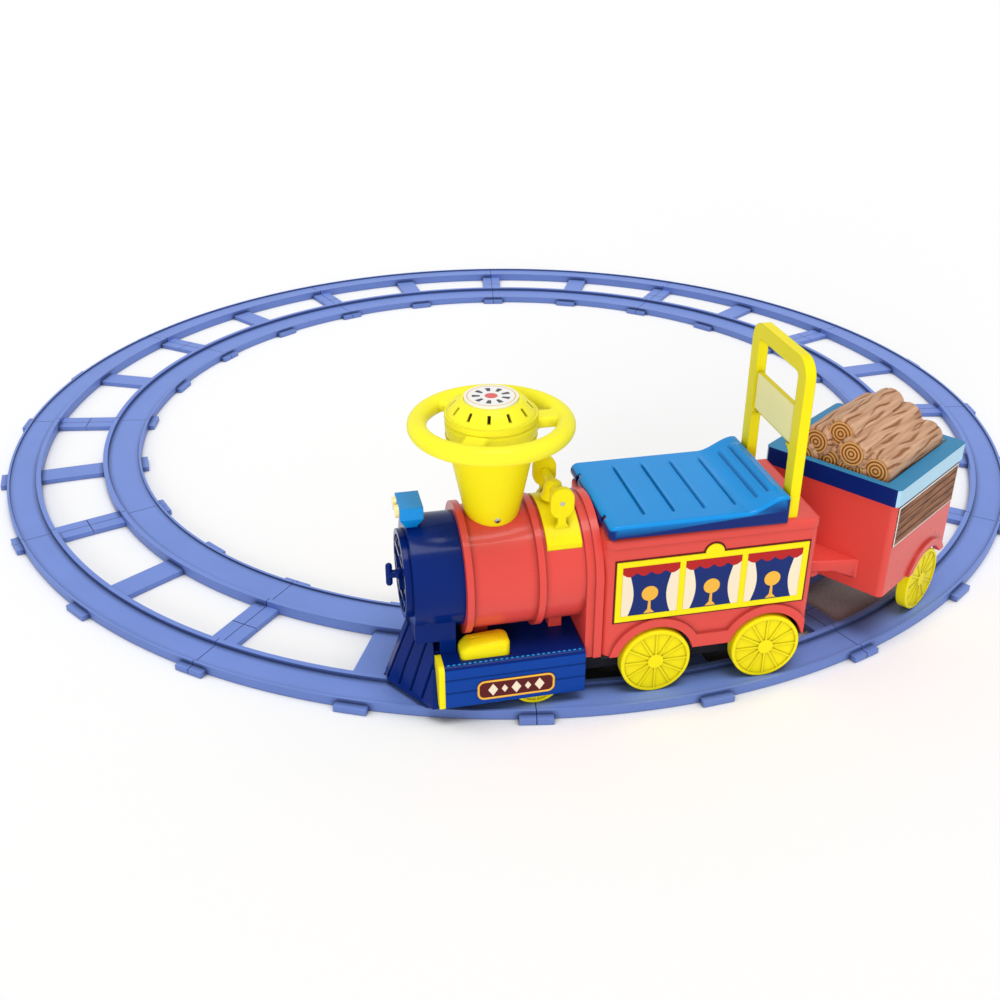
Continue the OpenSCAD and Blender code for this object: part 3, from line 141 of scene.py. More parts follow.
@dataclass(frozen=True)
class Wires:
    """Short ways to add and join the nodes of one shader tree."""

    tree: NodeTree

    def feed(self, socket: NodeSocket, value: Value) -> None:
        """Joins an output to a socket, or sets the socket's own value.

        Args:
            socket: Input to feed.
            value: An output, a number, a vector, or a colour, which gets full alpha.
        """
        if isinstance(value, NodeSocket):
            self.tree.links.new(value, socket)
        else:
            socket.default_value = (*value, 1.0) if socket.type == "RGBA" else value

    def add(self, kind: str, values: dict[str, Value] | None = None, group: NodeTree | None = None) -> Node:
        """Adds a node and feeds its inputs.

        Args:
            kind: Type of the node, without its prefix.
            values: Outputs or values of named inputs.
            group: Tree of a node of the type Group.

        Returns:
            The node.
        """
        node = self.tree.nodes.new("ShaderNode" + kind)
        if group is not None:
            node.node_tree = group
        for name, value in (values or {}).items():
            self.feed(node.inputs[name], value)
        return node

    def math(self, kind: str, *values: Value) -> NodeSocket:
        """Adds a Math node.

        Args:
            kind: Name of the operation.
            values: Outputs or numbers, in the order of the node's inputs.

        Returns:
            The node's output.
        """
        node = self.add("Math")
        node.operation = kind
        for socket, value in zip(node.inputs, values):
            self.feed(socket, value)
        return node.outputs["Value"]

    def mix(self, share: NodeSocket, low: Value, high: Value) -> NodeSocket:
        """Mixes two colours.

        Args:
            share: Share of the second colour.
            low: First colour, or an output.
            high: Second colour, or an output.

        Returns:
            The mixed colour.
        """
        node = self.add("Mix", {"Factor": share})
        node.data_type = "RGBA"
        for index, value in zip(MIX_COLORS, (low, high)):
            self.feed(node.inputs[index], value)
        return node.outputs[MIX_RESULT]

    def place(self) -> NodeSocket:
        """Place on the piece, in metres."""
        return self.add("TexCoord").outputs["Object"]

    def noise(self, place: NodeSocket, scale: Value, detail: Value) -> NodeSocket:
        """Value of noise over a place."""
        return self.add("TexNoise", {"Vector": place, "Scale": scale, "Detail": detail}).outputs["Fac"]

    def mark(self, name: str) -> NodeSocket:
        """Reads a float attribute of the mesh.

        Args:
            name: Name of the attribute.

        Returns:
            Its value.
        """
        node = self.add("Attribute")
        node.attribute_name = name
        return node.outputs["Fac"]

    def along(self, axis: tuple[float, float, float]) -> NodeSocket:
        """Measures the place on the piece along an axis.

        Args:
            axis: Unit vector in the frame.

        Returns:
            The distance from the frame's origin, in metres.
        """
        node = self.add("VectorMath")
        node.operation = "DOT_PRODUCT"
        for socket, value in zip(node.inputs, (self.place(), axis)):
            self.feed(socket, value)
        return node.outputs["Value"]

    def polar(self, x: float, y: float) -> tuple[NodeSocket, NodeSocket]:
        """Measures the place on the piece about an upright axis.

        Args:
            x: Place of the axis along X, in metres.
            y: Place of the axis along Y, in metres.

        Returns:
            The distance from the axis, in metres, and the angle about it.
        """
        side = self.math("SUBTRACT", self.along((1, 0, 0)), x)
        deep = self.math("SUBTRACT", self.along((0, 1, 0)), y)
        squares = self.math("ADD", self.math("POWER", side, 2.0), self.math("POWER", deep, 2.0))
        return self.math("SQRT", squares), self.math("ARCTAN2", deep, side)


def start_group(name: str, inputs: dict[str, float | tuple[float, ...]], outputs: dict[str, str]) -> NodeTree:
    """Starts a shader node group with its sockets.

    Args:
        name: Name of the group.
        inputs: Default of each input, a number or a colour.
        outputs: Socket type of each output.

    Returns:
        The group, with its input and output nodes named "inside" and "outside".
    """
    tree = bpy.data.node_groups.new(name, "ShaderNodeTree")
    for socket, default in inputs.items():
        kind = "NodeSocketColor" if isinstance(default, tuple) else "NodeSocketFloat"
        tree.interface.new_socket(socket, in_out="INPUT", socket_type=kind).default_value = default
    for socket, kind in outputs.items():
        tree.interface.new_socket(socket, in_out="OUTPUT", socket_type=kind)
    tree.nodes.new("NodeGroupInput").name = "inside"
    tree.nodes.new("NodeGroupOutput").name = "outside"
    return tree


def new_material(name: str) -> tuple[Material, Wires, Node]:
    """Starts a material.

    Args:
        name: Name of the material.

    Returns:
        The material, the wires of its tree and its shader.
    """
    made = bpy.data.materials.new(name)
    made.use_nodes = True
    return made, Wires(made.node_tree), made.node_tree.nodes["Principled BSDF"]


@dataclass(frozen=True)
class MouldedPlastic:
    """Shader group that mottles a moulded colour and its gloss, paints shade into creases from ambient occlusion,
    rounds edges and adds a ripple.
    """

    name: str = "moulded_plastic"
    cloud_scale: float = 9.0
    cloud_detail: float = 3.0
    grain_scale: float = 120.0
    grain_detail: float = 1.0
    mottle: float = 0.16
    gloss_spread: float = 0.10
    # Reach, samples and least value of the shade painted into creases.
    crease_shade_reach: float = 10.0
    crease_shade_samples: int = 4
    darkest_crease_shade: float = 0.12
    edge_samples: int = 6
    ripple_strength: float = 0.4

    def group(self) -> NodeTree:
        """Builds the group, or takes the one already built.

        Returns:
            The group, with inputs Color, Roughness, Edge Radius, Ripple Depth and Crease, and outputs Color,
            Roughness and Normal.
        """
        if self.name in bpy.data.node_groups:
            return bpy.data.node_groups[self.name]
        tree = start_group(
            self.name,
            {"Color": (0.8, 0.8, 0.8, 1.0), "Roughness": 0.3, "Edge Radius": 0.002, "Ripple Depth": 0.0001,
             "Crease Shade": 0.5},
            {"Color": "NodeSocketColor", "Roughness": "NodeSocketFloat", "Normal": "NodeSocketVector"})
        wires, given, result = Wires(tree), tree.nodes["inside"].outputs, tree.nodes["outside"].inputs
        place = wires.place()
        cloud = wires.noise(place, self.cloud_scale, self.cloud_detail)
        grain = wires.noise(place, self.grain_scale, self.grain_detail)
        # Painted shade: ambient occlusion within the piece darkens the colour in creases and recesses.
        hollow = wires.add("AmbientOcclusion", {"Distance": self.crease_shade_reach * MM})
        hollow.samples = self.crease_shade_samples
        hollow.only_local = True
        covered = wires.math("SUBTRACT", 1.0, hollow.outputs["AO"])
        shade = wires.math("SUBTRACT", 1.0, wires.math("MULTIPLY", covered, given["Crease Shade"]))
        mottle = wires.math("MULTIPLY_ADD", cloud, self.mottle, 1 - self.mottle / 2)
        value = wires.math("MULTIPLY", mottle, wires.math("MAXIMUM", shade, self.darkest_crease_shade))
        tone = wires.add("HueSaturation", {"Color": given["Color"], "Value": value})
        spread = wires.math("MULTIPLY_ADD", grain, self.gloss_spread, -self.gloss_spread / 2)
        bevel = wires.add("Bevel", {"Radius": given["Edge Radius"]})
        bevel.samples = self.edge_samples
        bump = wires.add("Bump", {"Strength": self.ripple_strength, "Height": cloud,
                                  "Distance": given["Ripple Depth"], "Normal": bevel.outputs["Normal"]})
        wires.feed(result["Color"], tone.outputs["Color"])
        wires.feed(result["Roughness"], wires.math("ADD", spread, given["Roughness"]))
        wires.feed(result["Normal"], bump.outputs["Normal"])
        return tree


@dataclass(frozen=True)
class LongGrain:
    """Shader group of noise that is drawn out along the tender, as wood grain is."""

    name: str = "long_grain"

    def group(self) -> NodeTree:
        """Builds the group, or takes the one already built.

        Returns:
            The group, with inputs Stretch, Scale and Detail, and output Grain.
        """
        if self.name in bpy.data.node_groups:
            return bpy.data.node_groups[self.name]
        tree = start_group(self.name, {"Stretch": 10.0, "Scale": 200.0, "Detail": 3.0}, {"Grain": "NodeSocketFloat"})
        wires, given = Wires(tree), tree.nodes["inside"].outputs
        stretch = wires.add("CombineXYZ", {"X": given["Stretch"], "Y": 1.0, "Z": 1.0})
        turn = wires.add("Mapping")
        turn.vector_type = "TEXTURE"
        heading = math.atan2(TENDER.forward[1], TENDER.forward[0])
        for name, value in (("Vector", wires.place()), ("Rotation", (0, 0, heading)),
                            ("Scale", stretch.outputs["Vector"])):
            wires.feed(turn.inputs[name], value)
        grain = wires.noise(turn.outputs["Vector"], given["Scale"], given["Detail"])
        wires.feed(tree.nodes["outside"].inputs["Grain"], grain)
        return tree


@dataclass(frozen=True)
class MarkMask:
    """Share of the second colour, from a float attribute of the mesh."""

    mark: str

    def socket(self, wires: Wires) -> NodeSocket:
        """Adds the mask to a material and gives its output."""
        return wires.mark(self.mark)


@dataclass(frozen=True)
class LevelMask:
    """Second colour past a level along an axis, in metres."""

    axis: tuple[float, float, float]
    level: float

    def socket(self, wires: Wires) -> NodeSocket:
        """Adds the mask to a material and gives its output."""
        return wires.math("GREATER_THAN", wires.along(self.axis), self.level)


@dataclass(frozen=True)
class SeamShadeMask:
    """Painted shade in the seams of the ring of track: dark lines across the strips, and a line through each lapped
    sleeper.
    """

    pitch: float = 30.0
    first: float = 20.0
    half_width: float = 0.8
    split_radius: float = 837.4
    sleeper_half: float = 22.0

    def socket(self, wires: Wires) -> NodeSocket:
        """Adds the mask to a material, from the radius and the angle about the ring's centre.

        Args:
            wires: Wires of the material.

        Returns:
            The mask, 1 on a seam.
        """
        radius, turn = wires.polar(0.0, 0.0)
        pitch = math.radians(self.pitch)
        shifted = wires.math("ADD", wires.math("DIVIDE", turn, pitch), 0.5 - self.first / self.pitch)
        part = wires.math("ABSOLUTE", wires.math("SUBTRACT", wires.math("FRACT", shifted), 0.5))
        reach = wires.math("MULTIPLY", wires.math("MULTIPLY", part, pitch), radius)
        across = wires.math("LESS_THAN", reach, self.half_width * MM)
        split = wires.math("COMPARE", radius, self.split_radius * MM, self.half_width * MM)
        at_joint = wires.math("LESS_THAN", reach, self.sleeper_half * MM)
        return wires.math("MAXIMUM", across, wires.math("MULTIPLY", split, at_joint))


@dataclass(frozen=True)
class Finish:
    """Moulded plastic or metal of one colour, with further colours laid over it through masks."""

    name: str
    slot: str
    color: Color
    roughness: float = 0.3
    metallic: float = 0.0
    coat: float = 0.0
    coat_roughness: float = 0.08
    specular: float = 0.2
    edge: float = 2.0
    ripple: float = 0.6
    # Share of shade painted into the finish's creases.
    crease_shade: float = 0.7
    layers: tuple[tuple[MarkMask | LevelMask | SeamShadeMask, Color], ...] = ()

    def material(self) -> Material:
        """Builds the finish's material, or takes the one already built.

        Returns:
            The material.
        """
        if self.name in bpy.data.materials:
            return bpy.data.materials[self.name]
        made, wires, shader = new_material(self.name)
        for socket, value in (("Metallic", self.metallic), ("Specular IOR Level", self.specular),
                              ("Coat Weight", self.coat), ("Coat Roughness", self.coat_roughness)):
            wires.feed(shader.inputs[socket], value)
        color: Value = self.color
        for mask, over in self.layers:
            color = wires.mix(mask.socket(wires), color, over)
        moulded = wires.add("Group", {"Color": color, "Roughness": self.roughness, "Edge Radius": self.edge * MM,
                                      "Ripple Depth": self.ripple * MM, "Crease Shade": self.crease_shade},
                            MouldedPlastic().group())
        for output, socket in (("Color", "Base Color"), ("Roughness", "Roughness"), ("Normal", "Normal")):
            wires.feed(shader.inputs[socket], moulded.outputs[output])
        return made


class Tone(Enum):
    """Colours of the set, as linear light."""

    TRACK = (0.186, 0.288, 0.71)
    # Painted shade for the joints between track sections.
    SEAM_SHADE = (0.03, 0.05, 0.20)
    NAVY = (0.0010, 0.016, 0.15)
    BLUE = (0.003, 0.26, 0.70)
    SKIRT = (0.002, 0.048, 0.31)
    SKY = (0.42, 0.66, 0.82)
    TEAL = (0.03, 0.22, 0.42)
    RED = (0.70, 0.068, 0.054)
    YELLOW = (0.90, 0.77, 0.008)
    # Painted light: a paler copy of the yellow, for the washed-out light on the steering wheel and hub cover.
    LIT_YELLOW = (0.93, 0.86, 0.035)
    PALE = (1.0, 0.91, 0.40)
    WHITE = (0.86, 0.86, 0.84)
    CREAM = (0.86, 0.74, 0.55)
    DARK = (0.012, 0.012, 0.016)
    TAN = (0.52, 0.27, 0.13)
    MAROON = (0.10, 0.006, 0.008)
    GOLD = (0.85, 0.45, 0.05)
    AMBER = (0.93, 0.74, 0.30)
    STEEL = (0.55, 0.56, 0.58)
    INK = (0.003, 0.02, 0.15)
    CLARET = (0.45, 0.012, 0.012)


class Plastic(Enum):
    """Finishes of whole nodes; the first one of a slot dresses the CAD nodes of that slot."""

    # Painted shade: the seam layer darkens the joints between track sections, and the crease share is raised for more
    # painted shade in creases.
    TRACK = Finish("track_moulding", "track_plastic", Tone.TRACK.value, roughness=0.42, edge=0.6, crease_shade=1.6,
                   layers=((SeamShadeMask(), Tone.SEAM_SHADE.value),))
    NAVY = Finish("navy_moulding", "navy_plastic", Tone.NAVY.value, roughness=0.2, coat=0.06, specular=0.08)
    BLUE = Finish("blue_moulding", "blue_plastic", Tone.BLUE.value, roughness=0.28, coat=0.08)
    RED = Finish("red_moulding", "red_plastic", Tone.RED.value, coat=0.15)
    YELLOW = Finish("yellow_moulding", "yellow_plastic", Tone.YELLOW.value, roughness=0.34, coat=0.03, specular=0.08)
    WHITE = Finish("white_moulding", "white_plastic", Tone.WHITE.value)
    DARK = Finish("dark_moulding", "dark_plastic", Tone.DARK.value, roughness=0.5)
    BROWN = Finish("brown_moulding", "brown_plastic", Tone.TAN.value, roughness=0.55)
    PLAQUE = Finish("plaque_moulding", "plaque_plastic", Tone.MAROON.value, edge=0.6)
    LENS = Finish("lens_moulding", "lens_plastic", Tone.AMBER.value, roughness=0.12, coat=0.5, edge=1.0)
    STEEL = Finish("plated_steel", "steel", Tone.STEEL.value, metallic=1.0, specular=0.5, edge=0.6, ripple=0.0)
    # Painted light: the steering wheel and hub cover take this paler, lit copy of the yellow plastic.
    LIT_YELLOW = Finish("lit_yellow_plastic", "yellow_plastic", Tone.LIT_YELLOW.value, roughness=0.34, coat=0.03,
                   specular=0.08)
    PALE = Finish("pale_yellow_plastic", "yellow_plastic", Tone.PALE.value, roughness=0.35, specular=0.08, edge=1.0)
    CREAM = Finish("cream_print", "white_plastic", Tone.CREAM.value, roughness=0.35, edge=0.2)
    GOLD = Finish("gold_print", "yellow_plastic", Tone.GOLD.value, edge=0.3)
    PANE = Finish("pane_print", "navy_plastic", Tone.INK.value, roughness=0.25, edge=0.2)
    CLARET = Finish("claret_print", "red_plastic", Tone.CLARET.value, edge=0.2)
    # The skirt mask paints the seat lid's sides navy as shade.
    SEAT = Finish("seat_blue_plastic", "blue_plastic", Tone.BLUE.value, roughness=0.22, coat=0.12, specular=0.12,
                  edge=1.0, layers=((MarkMask("skirt"), Tone.NAVY.value),))


@dataclass(frozen=True)
class HornFace:
    """White horn button with a printed ring of bars and a red middle, centred on the steering axis."""

    name: str = "horn_print"
    bars: int = 9
    bar_cut: float = 0.25
    ring_low: float = 14.0
    ring_high: float = 24.0
    dot: float = 8.0
    rim_line: float = 30.0
    line_half: float = 0.8
    roughness: float = 0.25

    def material(self) -> Material:
        """Builds the printed finish from the distance and the angle about the steering axis.

        Returns:
            The material.
        """
        made, wires, shader = new_material(self.name)
        axis = joint_place("steering_turn") * MM
        reach, turn = wires.polar(float(axis[0]), float(axis[1]))
        wave = wires.math("SINE", wires.math("MULTIPLY", turn, float(self.bars)))
        ring = wires.math("COMPARE", reach, (self.ring_low + self.ring_high) / 2 * MM,
                          (self.ring_high - self.ring_low) / 2 * MM)
        bars = wires.math("MULTIPLY", wires.math("GREATER_THAN", wave, self.bar_cut), ring)
        dot = wires.math("LESS_THAN", reach, self.dot * MM)
        line = wires.math("COMPARE", reach, self.rim_line * MM, self.line_half * MM)
        color: Value = Tone.WHITE.value
        for mask, tone in ((bars, Tone.DARK), (dot, Tone.RED), (line, Tone.GOLD)):
            color = wires.mix(mask, color, tone.value)
        wires.feed(shader.inputs["Base Color"], color)
        wires.feed(shader.inputs["Roughness"], self.roughness)
        return made


@dataclass(frozen=True)
class Wood(ABC):
    """Wood with long grain, whose roughness and relief follow the grain; each kind adds its own colours."""

    name: str
    light: Color
    dark: Color
    slot: str = "brown_plastic"
    stretch: float = 10.0
    scale: float = 200.0
    detail: float = 3.0
    roughness: float = 0.5
    gloss_spread: float = 0.2
    specular: float = 0.12
    relief: float = 0.0
    relief_strength: float = 0.7

    def material(self) -> Material:
        """Builds the finish from its grain.

        Returns:
            The material.
        """
        made, wires, shader = new_material(self.name)
        grain = wires.add("Group", {"Stretch": self.stretch, "Scale": self.scale, "Detail": self.detail},
                          LongGrain().group()).outputs["Grain"]
        gloss = wires.math("MULTIPLY_ADD", grain, -self.gloss_spread, self.roughness)
        for socket, value in (("Base Color", self.color(wires, grain)), ("Roughness", gloss),
                              ("Specular IOR Level", self.specular)):
            wires.feed(shader.inputs[socket], value)
        if self.relief:
            bump = wires.add("Bump", {"Distance": self.relief * MM, "Strength": self.relief_strength,
                                      "Height": grain})
            wires.feed(shader.inputs["Normal"], bump.outputs["Normal"])
        return made

    @abstractmethod
    def color(self, wires: Wires, grain: NodeSocket) -> NodeSocket:
        """Colour of the wood, from its grain and the marks of the mesh."""


@dataclass(frozen=True)
class LogWood(Wood):
    """Moulded logs: tan bark with furrows, and sawn ends with rings."""

    name: str = "log_wood"
    light: Color = (0.81, 0.52, 0.345)
    dark: Color = (0.27, 0.115, 0.05)
    sawn: Color = (0.72, 0.40, 0.15)
    sawn_dark: Color = (0.24, 0.08, 0.015)
    stretch: float = 18.0
    scale: float = 190.0
    detail: float = 4.0
    roughness: float = 0.62
    relief: float = 1.2
    bark_contrast: tuple[float, float] = (1.3, -0.15)
    bark_softness: float = 0.2
    ring_contrast: tuple[float, float] = (0.9, 0.5)
    ring_pitch: float = 5.0

    def color(self, wires: Wires, grain: NodeSocket) -> NodeSocket:
        """Colours the bark by the grain less the mark bark, and the ends by a sine of the distance from the axis.

        Args:
            wires: Wires of the material.
            grain: Value of the grain.

        Returns:
            The colour: bark, and sawn wood where the mark sawn is 1. The mark ring is the distance.
        """
        worn = wires.math("MULTIPLY_ADD", grain, *self.bark_contrast)
        shade = wires.math("SUBTRACT", worn, wires.mark("bark"))
        shade = wires.math("MAXIMUM", wires.math("SMOOTH_MIN", shade, 1.0, self.bark_softness), 0.0)
        bark = wires.mix(shade, self.dark, self.light)
        wave = wires.math("SINE", wires.math("MULTIPLY", wires.mark("ring"), FULL_TURN / self.ring_pitch))
        sawn = wires.mix(wires.math("MULTIPLY_ADD", wave, *self.ring_contrast), self.sawn_dark, self.sawn)
        return wires.mix(wires.mark("sawn"), bark, sawn)


@dataclass(frozen=True)
class PlankWood(Wood):
    """Printed boards: brown with fine long grain and dark joints."""

    name: str = "plank_wood"
    light: Color = (0.36, 0.13, 0.035)
    dark: Color = (0.075, 0.022, 0.008)
    joint: Color = (0.03, 0.008, 0.004)
    scale: float = 260.0
    contrast: tuple[float, float] = (2.4, -0.7)

    def color(self, wires: Wires, grain: NodeSocket) -> NodeSocket:
        """Colour of the boards by the grain, with the joints' tone laid over it by the mark joint."""
        wood = wires.mix(wires.math("MULTIPLY_ADD", grain, *self.contrast), self.dark, self.light)
        return wires.mix(wires.mark("joint"), wood, self.joint)


@dataclass
class Shape:
    """Points, faces and float marks of a surface that is put together from grids and loops."""

    points: list[np.ndarray] = field(default_factory=list)
    faces: list[list[int]] = field(default_factory=list)
    marks: dict[str, list[np.ndarray]] = field(default_factory=dict)
    count: int = 0

    def add(self, points: np.ndarray, **marks: Mark) -> np.ndarray:
        """Adds points with their marks.

        Args:
            points: Array of local points in its last axis.
            marks: One value, or one for each point, of each named mark.

        Returns:
            The points' indices, in the shape of the array.
        """
        shape = points.shape[:-1]
        size = int(np.prod(shape))
        self.points.append(points.reshape(-1, 3))
        for name, value in marks.items():
            self.marks.setdefault(name, []).append(np.broadcast_to(value, shape).reshape(-1))
        self.count += size
        return np.arange(self.count - size, self.count).reshape(shape)

    def grid(self, points: np.ndarray, closed: bool = False, keep: np.ndarray | None = None,
             **marks: Mark) -> np.ndarray:
        """Adds a sheet of four-sided faces between neighbouring points of a grid.

        Args:
            points: Rows and columns of local points.
            closed: Whether the last column joins the first.
            keep: Which faces to keep, or None for all.
            marks: Values of the points' marks.

        Returns:
            The points' indices.
        """
        index = self.add(points, **marks)
        wide = np.concatenate([index, index[:, :1]], axis=1) if closed else index
        quads = np.stack([wide[:-1, :-1], wide[:-1, 1:], wide[1:, 1:], wide[1:, :-1]], axis=-1)
        self.faces += (quads.reshape(-1, 4) if keep is None else quads[keep]).tolist()
        return index

    def close(self, index: np.ndarray) -> None:
        """Adds a flat face on the first and on the last row of a grid."""
        self.faces += [index[0][::-1].tolist(), index[-1].tolist()]

    def loft(self, rings: np.ndarray, **marks: Mark) -> None:
        """Adds closed loops carried along a path, with a flat face on each end."""
        self.close(self.grid(rings, closed=True, **marks))

    def plate(self, outline: np.ndarray, across: Axis, ends: np.ndarray, **marks: Mark) -> None:
        """Adds a flat plate: an outline along two axes, carried between two ends along the third, across."""
        self.loft(np.stack([np.insert(outline, across, end, axis=1) for end in ends]), **marks)

    def build(self, name: str, axes: LocalFrame, finish: Finish | Wood, body: str, replaces: tuple[str, ...] = (),
              merge: bool = True) -> Object:
        """Makes the surface a piece that rides on a body.

        Args:
            name: Name of the piece.
            axes: Local frame that the points are in.
            finish: Finish with a slot and a material.
            body: CAD body that carries the piece.
            replaces: CAD nodes that the piece stands for.
            merge: Whether points in one place become one.

        Returns:
            The piece.
        """
        mesh = bpy.data.meshes.new(name)
        mesh.from_pydata(axes.world(np.concatenate(self.points)).tolist(), [], self.faces)
        for mark, values in self.marks.items():
            layer = mesh.attributes.new(mark, "FLOAT", "POINT")
            layer.data.foreach_set("value", np.concatenate(values).astype(np.float32))
        work = bmesh.new()
        work.from_mesh(mesh)
        if merge:
            bmesh.ops.remove_doubles(work, verts=work.verts, dist=WELD)
        bmesh.ops.recalc_face_normals(work, faces=work.faces)
        work.to_mesh(mesh)
        work.free()
        mesh.shade_smooth()
        mesh.set_sharp_from_angle(angle=SHARP_ANGLE)
        mesh.materials.append(finish.material())
        made = bpy.data.objects.new(name, mesh)
        bpy.context.scene.collection.objects.link(made)
        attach(made, body)
        if replaces:
            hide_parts(*replaces)
        LOG.info("%s: %d faces", name, len(mesh.polygons))
        return made


def ease(share: np.ndarray) -> np.ndarray:
    """Smooth step from 0 to 1, 3 t squared less 2 t cubed, level at both ends."""
    t = np.clip(share, 0, 1)
    return t * t * (3 - 2 * t)


def full_turn(count: int) -> np.ndarray:
    """Angles of a whole turn in equal steps, without the last one, which is the first again."""
    return np.linspace(0, FULL_TURN, count + 1)[:-1]


def bend(count: int, degrees: float = 90.0) -> np.ndarray:
    """Angles from 0 to so many degrees in equal steps, both ends included, in radians."""
    return np.radians(np.linspace(0, degrees, count))


def arc(center: tuple[float, float], radius: float, start: float, end: float, steps: int) -> np.ndarray:
    """Points of a circle's arc from one angle to another, in degrees, both ends included."""
    angle = np.radians(np.linspace(start, end, steps))
    return np.stack([center[0] + radius * np.cos(angle), center[1] + radius * np.sin(angle)], axis=-1)


def around(axis: np.ndarray, reach: np.ndarray, rise: np.ndarray, turn: np.ndarray) -> np.ndarray:
    """Points about an upright axis, each at a reach from it, a height and an angle from forward to the left."""
    reach, rise, turn = np.broadcast_arrays(reach, rise, turn)
    return np.stack([axis[0] + reach * np.cos(turn), axis[1] + reach * np.sin(turn), rise], axis=-1)


def left_of(path: np.ndarray) -> np.ndarray:
    """Unit vectors to the left of a flat path, at each of its points."""
    step = np.gradient(path, axis=0)
    return np.stack([-step[:, 1], step[:, 0]], axis=-1) / np.linalg.norm(step, axis=1, keepdims=True)


def round_box(half: tuple[float, float], radius: float, steps: int = 8) -> np.ndarray:
    """Draws a rectangle about the origin with round corners.

    Args:
        half: Half of its length and of its width.
        radius: Radius of its corners.
        steps: Points on each corner.

    Returns:
        The outline, as a loop of points.
    """
    x, y = half[0] - radius, half[1] - radius
    corners = [((x, y), 0), ((-x, y), 90), ((-x, -y), 180), ((x, -y), 270)]
    return np.concatenate([arc(c, radius, a, a + 90, steps) for c, a in corners])


def give_wall(piece: Object, thickness: float) -> None:
    """Gives an open sheet a wall that grows inwards.

    Args:
        piece: The sheet.
        thickness: Thickness of the wall, in millimetres.
    """
    wall = piece.modifiers.new("wall", "SOLIDIFY")
    wall.thickness = thickness * MM
    wall.offset = -1.0


@dataclass
class SeatLid:
    """Blue seat lid: a swept shell with rolled edges, cross grooves and its sides painted navy as shade."""

    wall: float = 4.0
    edge: float = 4.5
    rear_round: float = 7.0
    sweep_start: float = -32.0
    sweep_margin: float = 8.0
    top_band: float = 1.0
    groove_shares: tuple[float, ...] = (0.22, 0.385, 0.555, 0.73, 0.85, 0.91)
    groove_half_width: float = 1.7
    groove_depth: float = 3.2
    groove_roll: float = 0.7
    groove_half_share: float = 0.72
    lip_rise: float = 2.2
    lip_width: float = 7.0
    skirt_shade_start: float = 3.5
    skirt_shade_blend: float = 2.5
    lug_side: float = 58.0
    lug_slot: float = 5.0
    lug_angle: float = 62.0
    roll_steps: int = 8
    cross_steps: int = 90
    run_steps: int = 260
    nose_steps: int = 25
    rear_steps: int = 10
    low: np.ndarray = field(default_factory=lambda: LOCO.span("seat_lid")[0])
    high: np.ndarray = field(default_factory=lambda: LOCO.span("seat_lid")[1])
    pivot: np.ndarray = field(default_factory=lambda: LOCO.local(joint_place("seat_open")))

    def build(self) -> None:
        """Makes the shell as the side outline carried across the seat, and gives it its wall.

        The long edges roll in by a quarter circle: the side goes by the sine of an angle, the inset by its cosine.
        """
        outline, half, roll = self.outline(), self.high[1], bend(self.roll_steps)[1:]
        across = np.linspace(self.edge - half, half - self.edge, self.cross_steps)
        side = np.concatenate([-half + self.edge * (1 - np.sin(roll[::-1])), across,
                               half - self.edge * (1 - np.sin(roll))])
        inset = np.concatenate([self.edge * (1 - np.cos(roll[::-1])), np.zeros(len(across)),
                                self.edge * (1 - np.cos(roll))])
        flat = outline[None] + left_of(outline)[None] * inset[:, None, None]
        u, v = flat[..., 0], np.broadcast_to(side[:, None], flat.shape[:2])
        on_top = (outline[:, 1] > self.top(outline[:, 0]) - self.top_band)[None]
        w = np.maximum(flat[..., 1], self.low[2]) + on_top * self.relief(u, v)
        # Painted shade: points a little below the top's edge are marked to take the navy tone of the shaded sides.
        skirt = ease((self.top(u) - w - self.skirt_shade_start) / self.skirt_shade_blend)
        shape = Shape()
        shape.close(shape.grid(np.stack([u, v, w], axis=-1), keep=self.slot_mask(side, outline), skirt=skirt))
        made = shape.build("seat_lid_shell", LOCO, Plastic.SEAT.value, "seat", ("seat_lid",))
        give_wall(made, self.wall)

    def top(self, u: np.ndarray) -> np.ndarray:
        """Works out the height of the top, which is level from the nose and eases up to the rear.

        Args:
            u: Places along the seat.

        Returns:
            The height at each place.
        """
        front_top = self.pivot[2] + self.high[0] - self.pivot[0]
        sweep_end = self.low[0] + self.sweep_margin
        share = (self.sweep_start - u) / (self.sweep_start - sweep_end)
        return front_top + (self.high[2] - front_top) * ease(share)

    def outline(self) -> np.ndarray:
        """Draws the seat from the side: a half round about the hinge, the top, a rear round and the rear.

        Returns:
            Points in forward and up, from under the nose to the rear's foot.
        """
        hinge, level = self.pivot[0], self.pivot[2]
        nose, rear = self.high[0] - hinge, self.low[0]
        round_start = rear + self.rear_round
        run = np.linspace(hinge, round_start, self.run_steps)
        corner = (round_start, self.top(np.array(round_start)) - self.rear_round)
        down = np.linspace(level + nose, self.low[2], self.roll_steps)
        return np.concatenate([
            arc((hinge, level), nose, -90, 90, self.nose_steps)[:-1],
            np.stack([run, self.top(run)], axis=-1),
            arc(corner, self.rear_round, 90, 180, self.rear_steps)[1:],
            np.stack([np.full(len(down), rear), down], axis=-1)])

    def relief(self, u: np.ndarray, v: np.ndarray) -> np.ndarray:
        """Works out the grooves and the rear lip, which fade out towards the sides.

        A groove is a flat-bottomed bell, e to minus the fourth power of the distance, between two low rolls.

        Args:
            u: Places along the seat.
            v: Places across it.

        Returns:
            The rise at each place, less than 0 in a groove.
        """
        places = self.high[0] - (self.high[0] - self.low[0]) * np.array(self.groove_shares)
        off = np.abs(u[..., None] - places) / self.groove_half_width
        cut = (self.groove_depth * np.exp(-off ** 4) - self.groove_roll * np.exp(-(off - 2) ** 2)).sum(axis=-1)
        window = ease((self.high[1] * self.groove_half_share - np.abs(v)) / self.lip_width + 0.5)
        lip = ease(1 - (np.abs(u - (self.low[0] + self.rear_round + self.lip_width)) / self.lip_width))
        return (self.lip_rise * lip - cut) * window

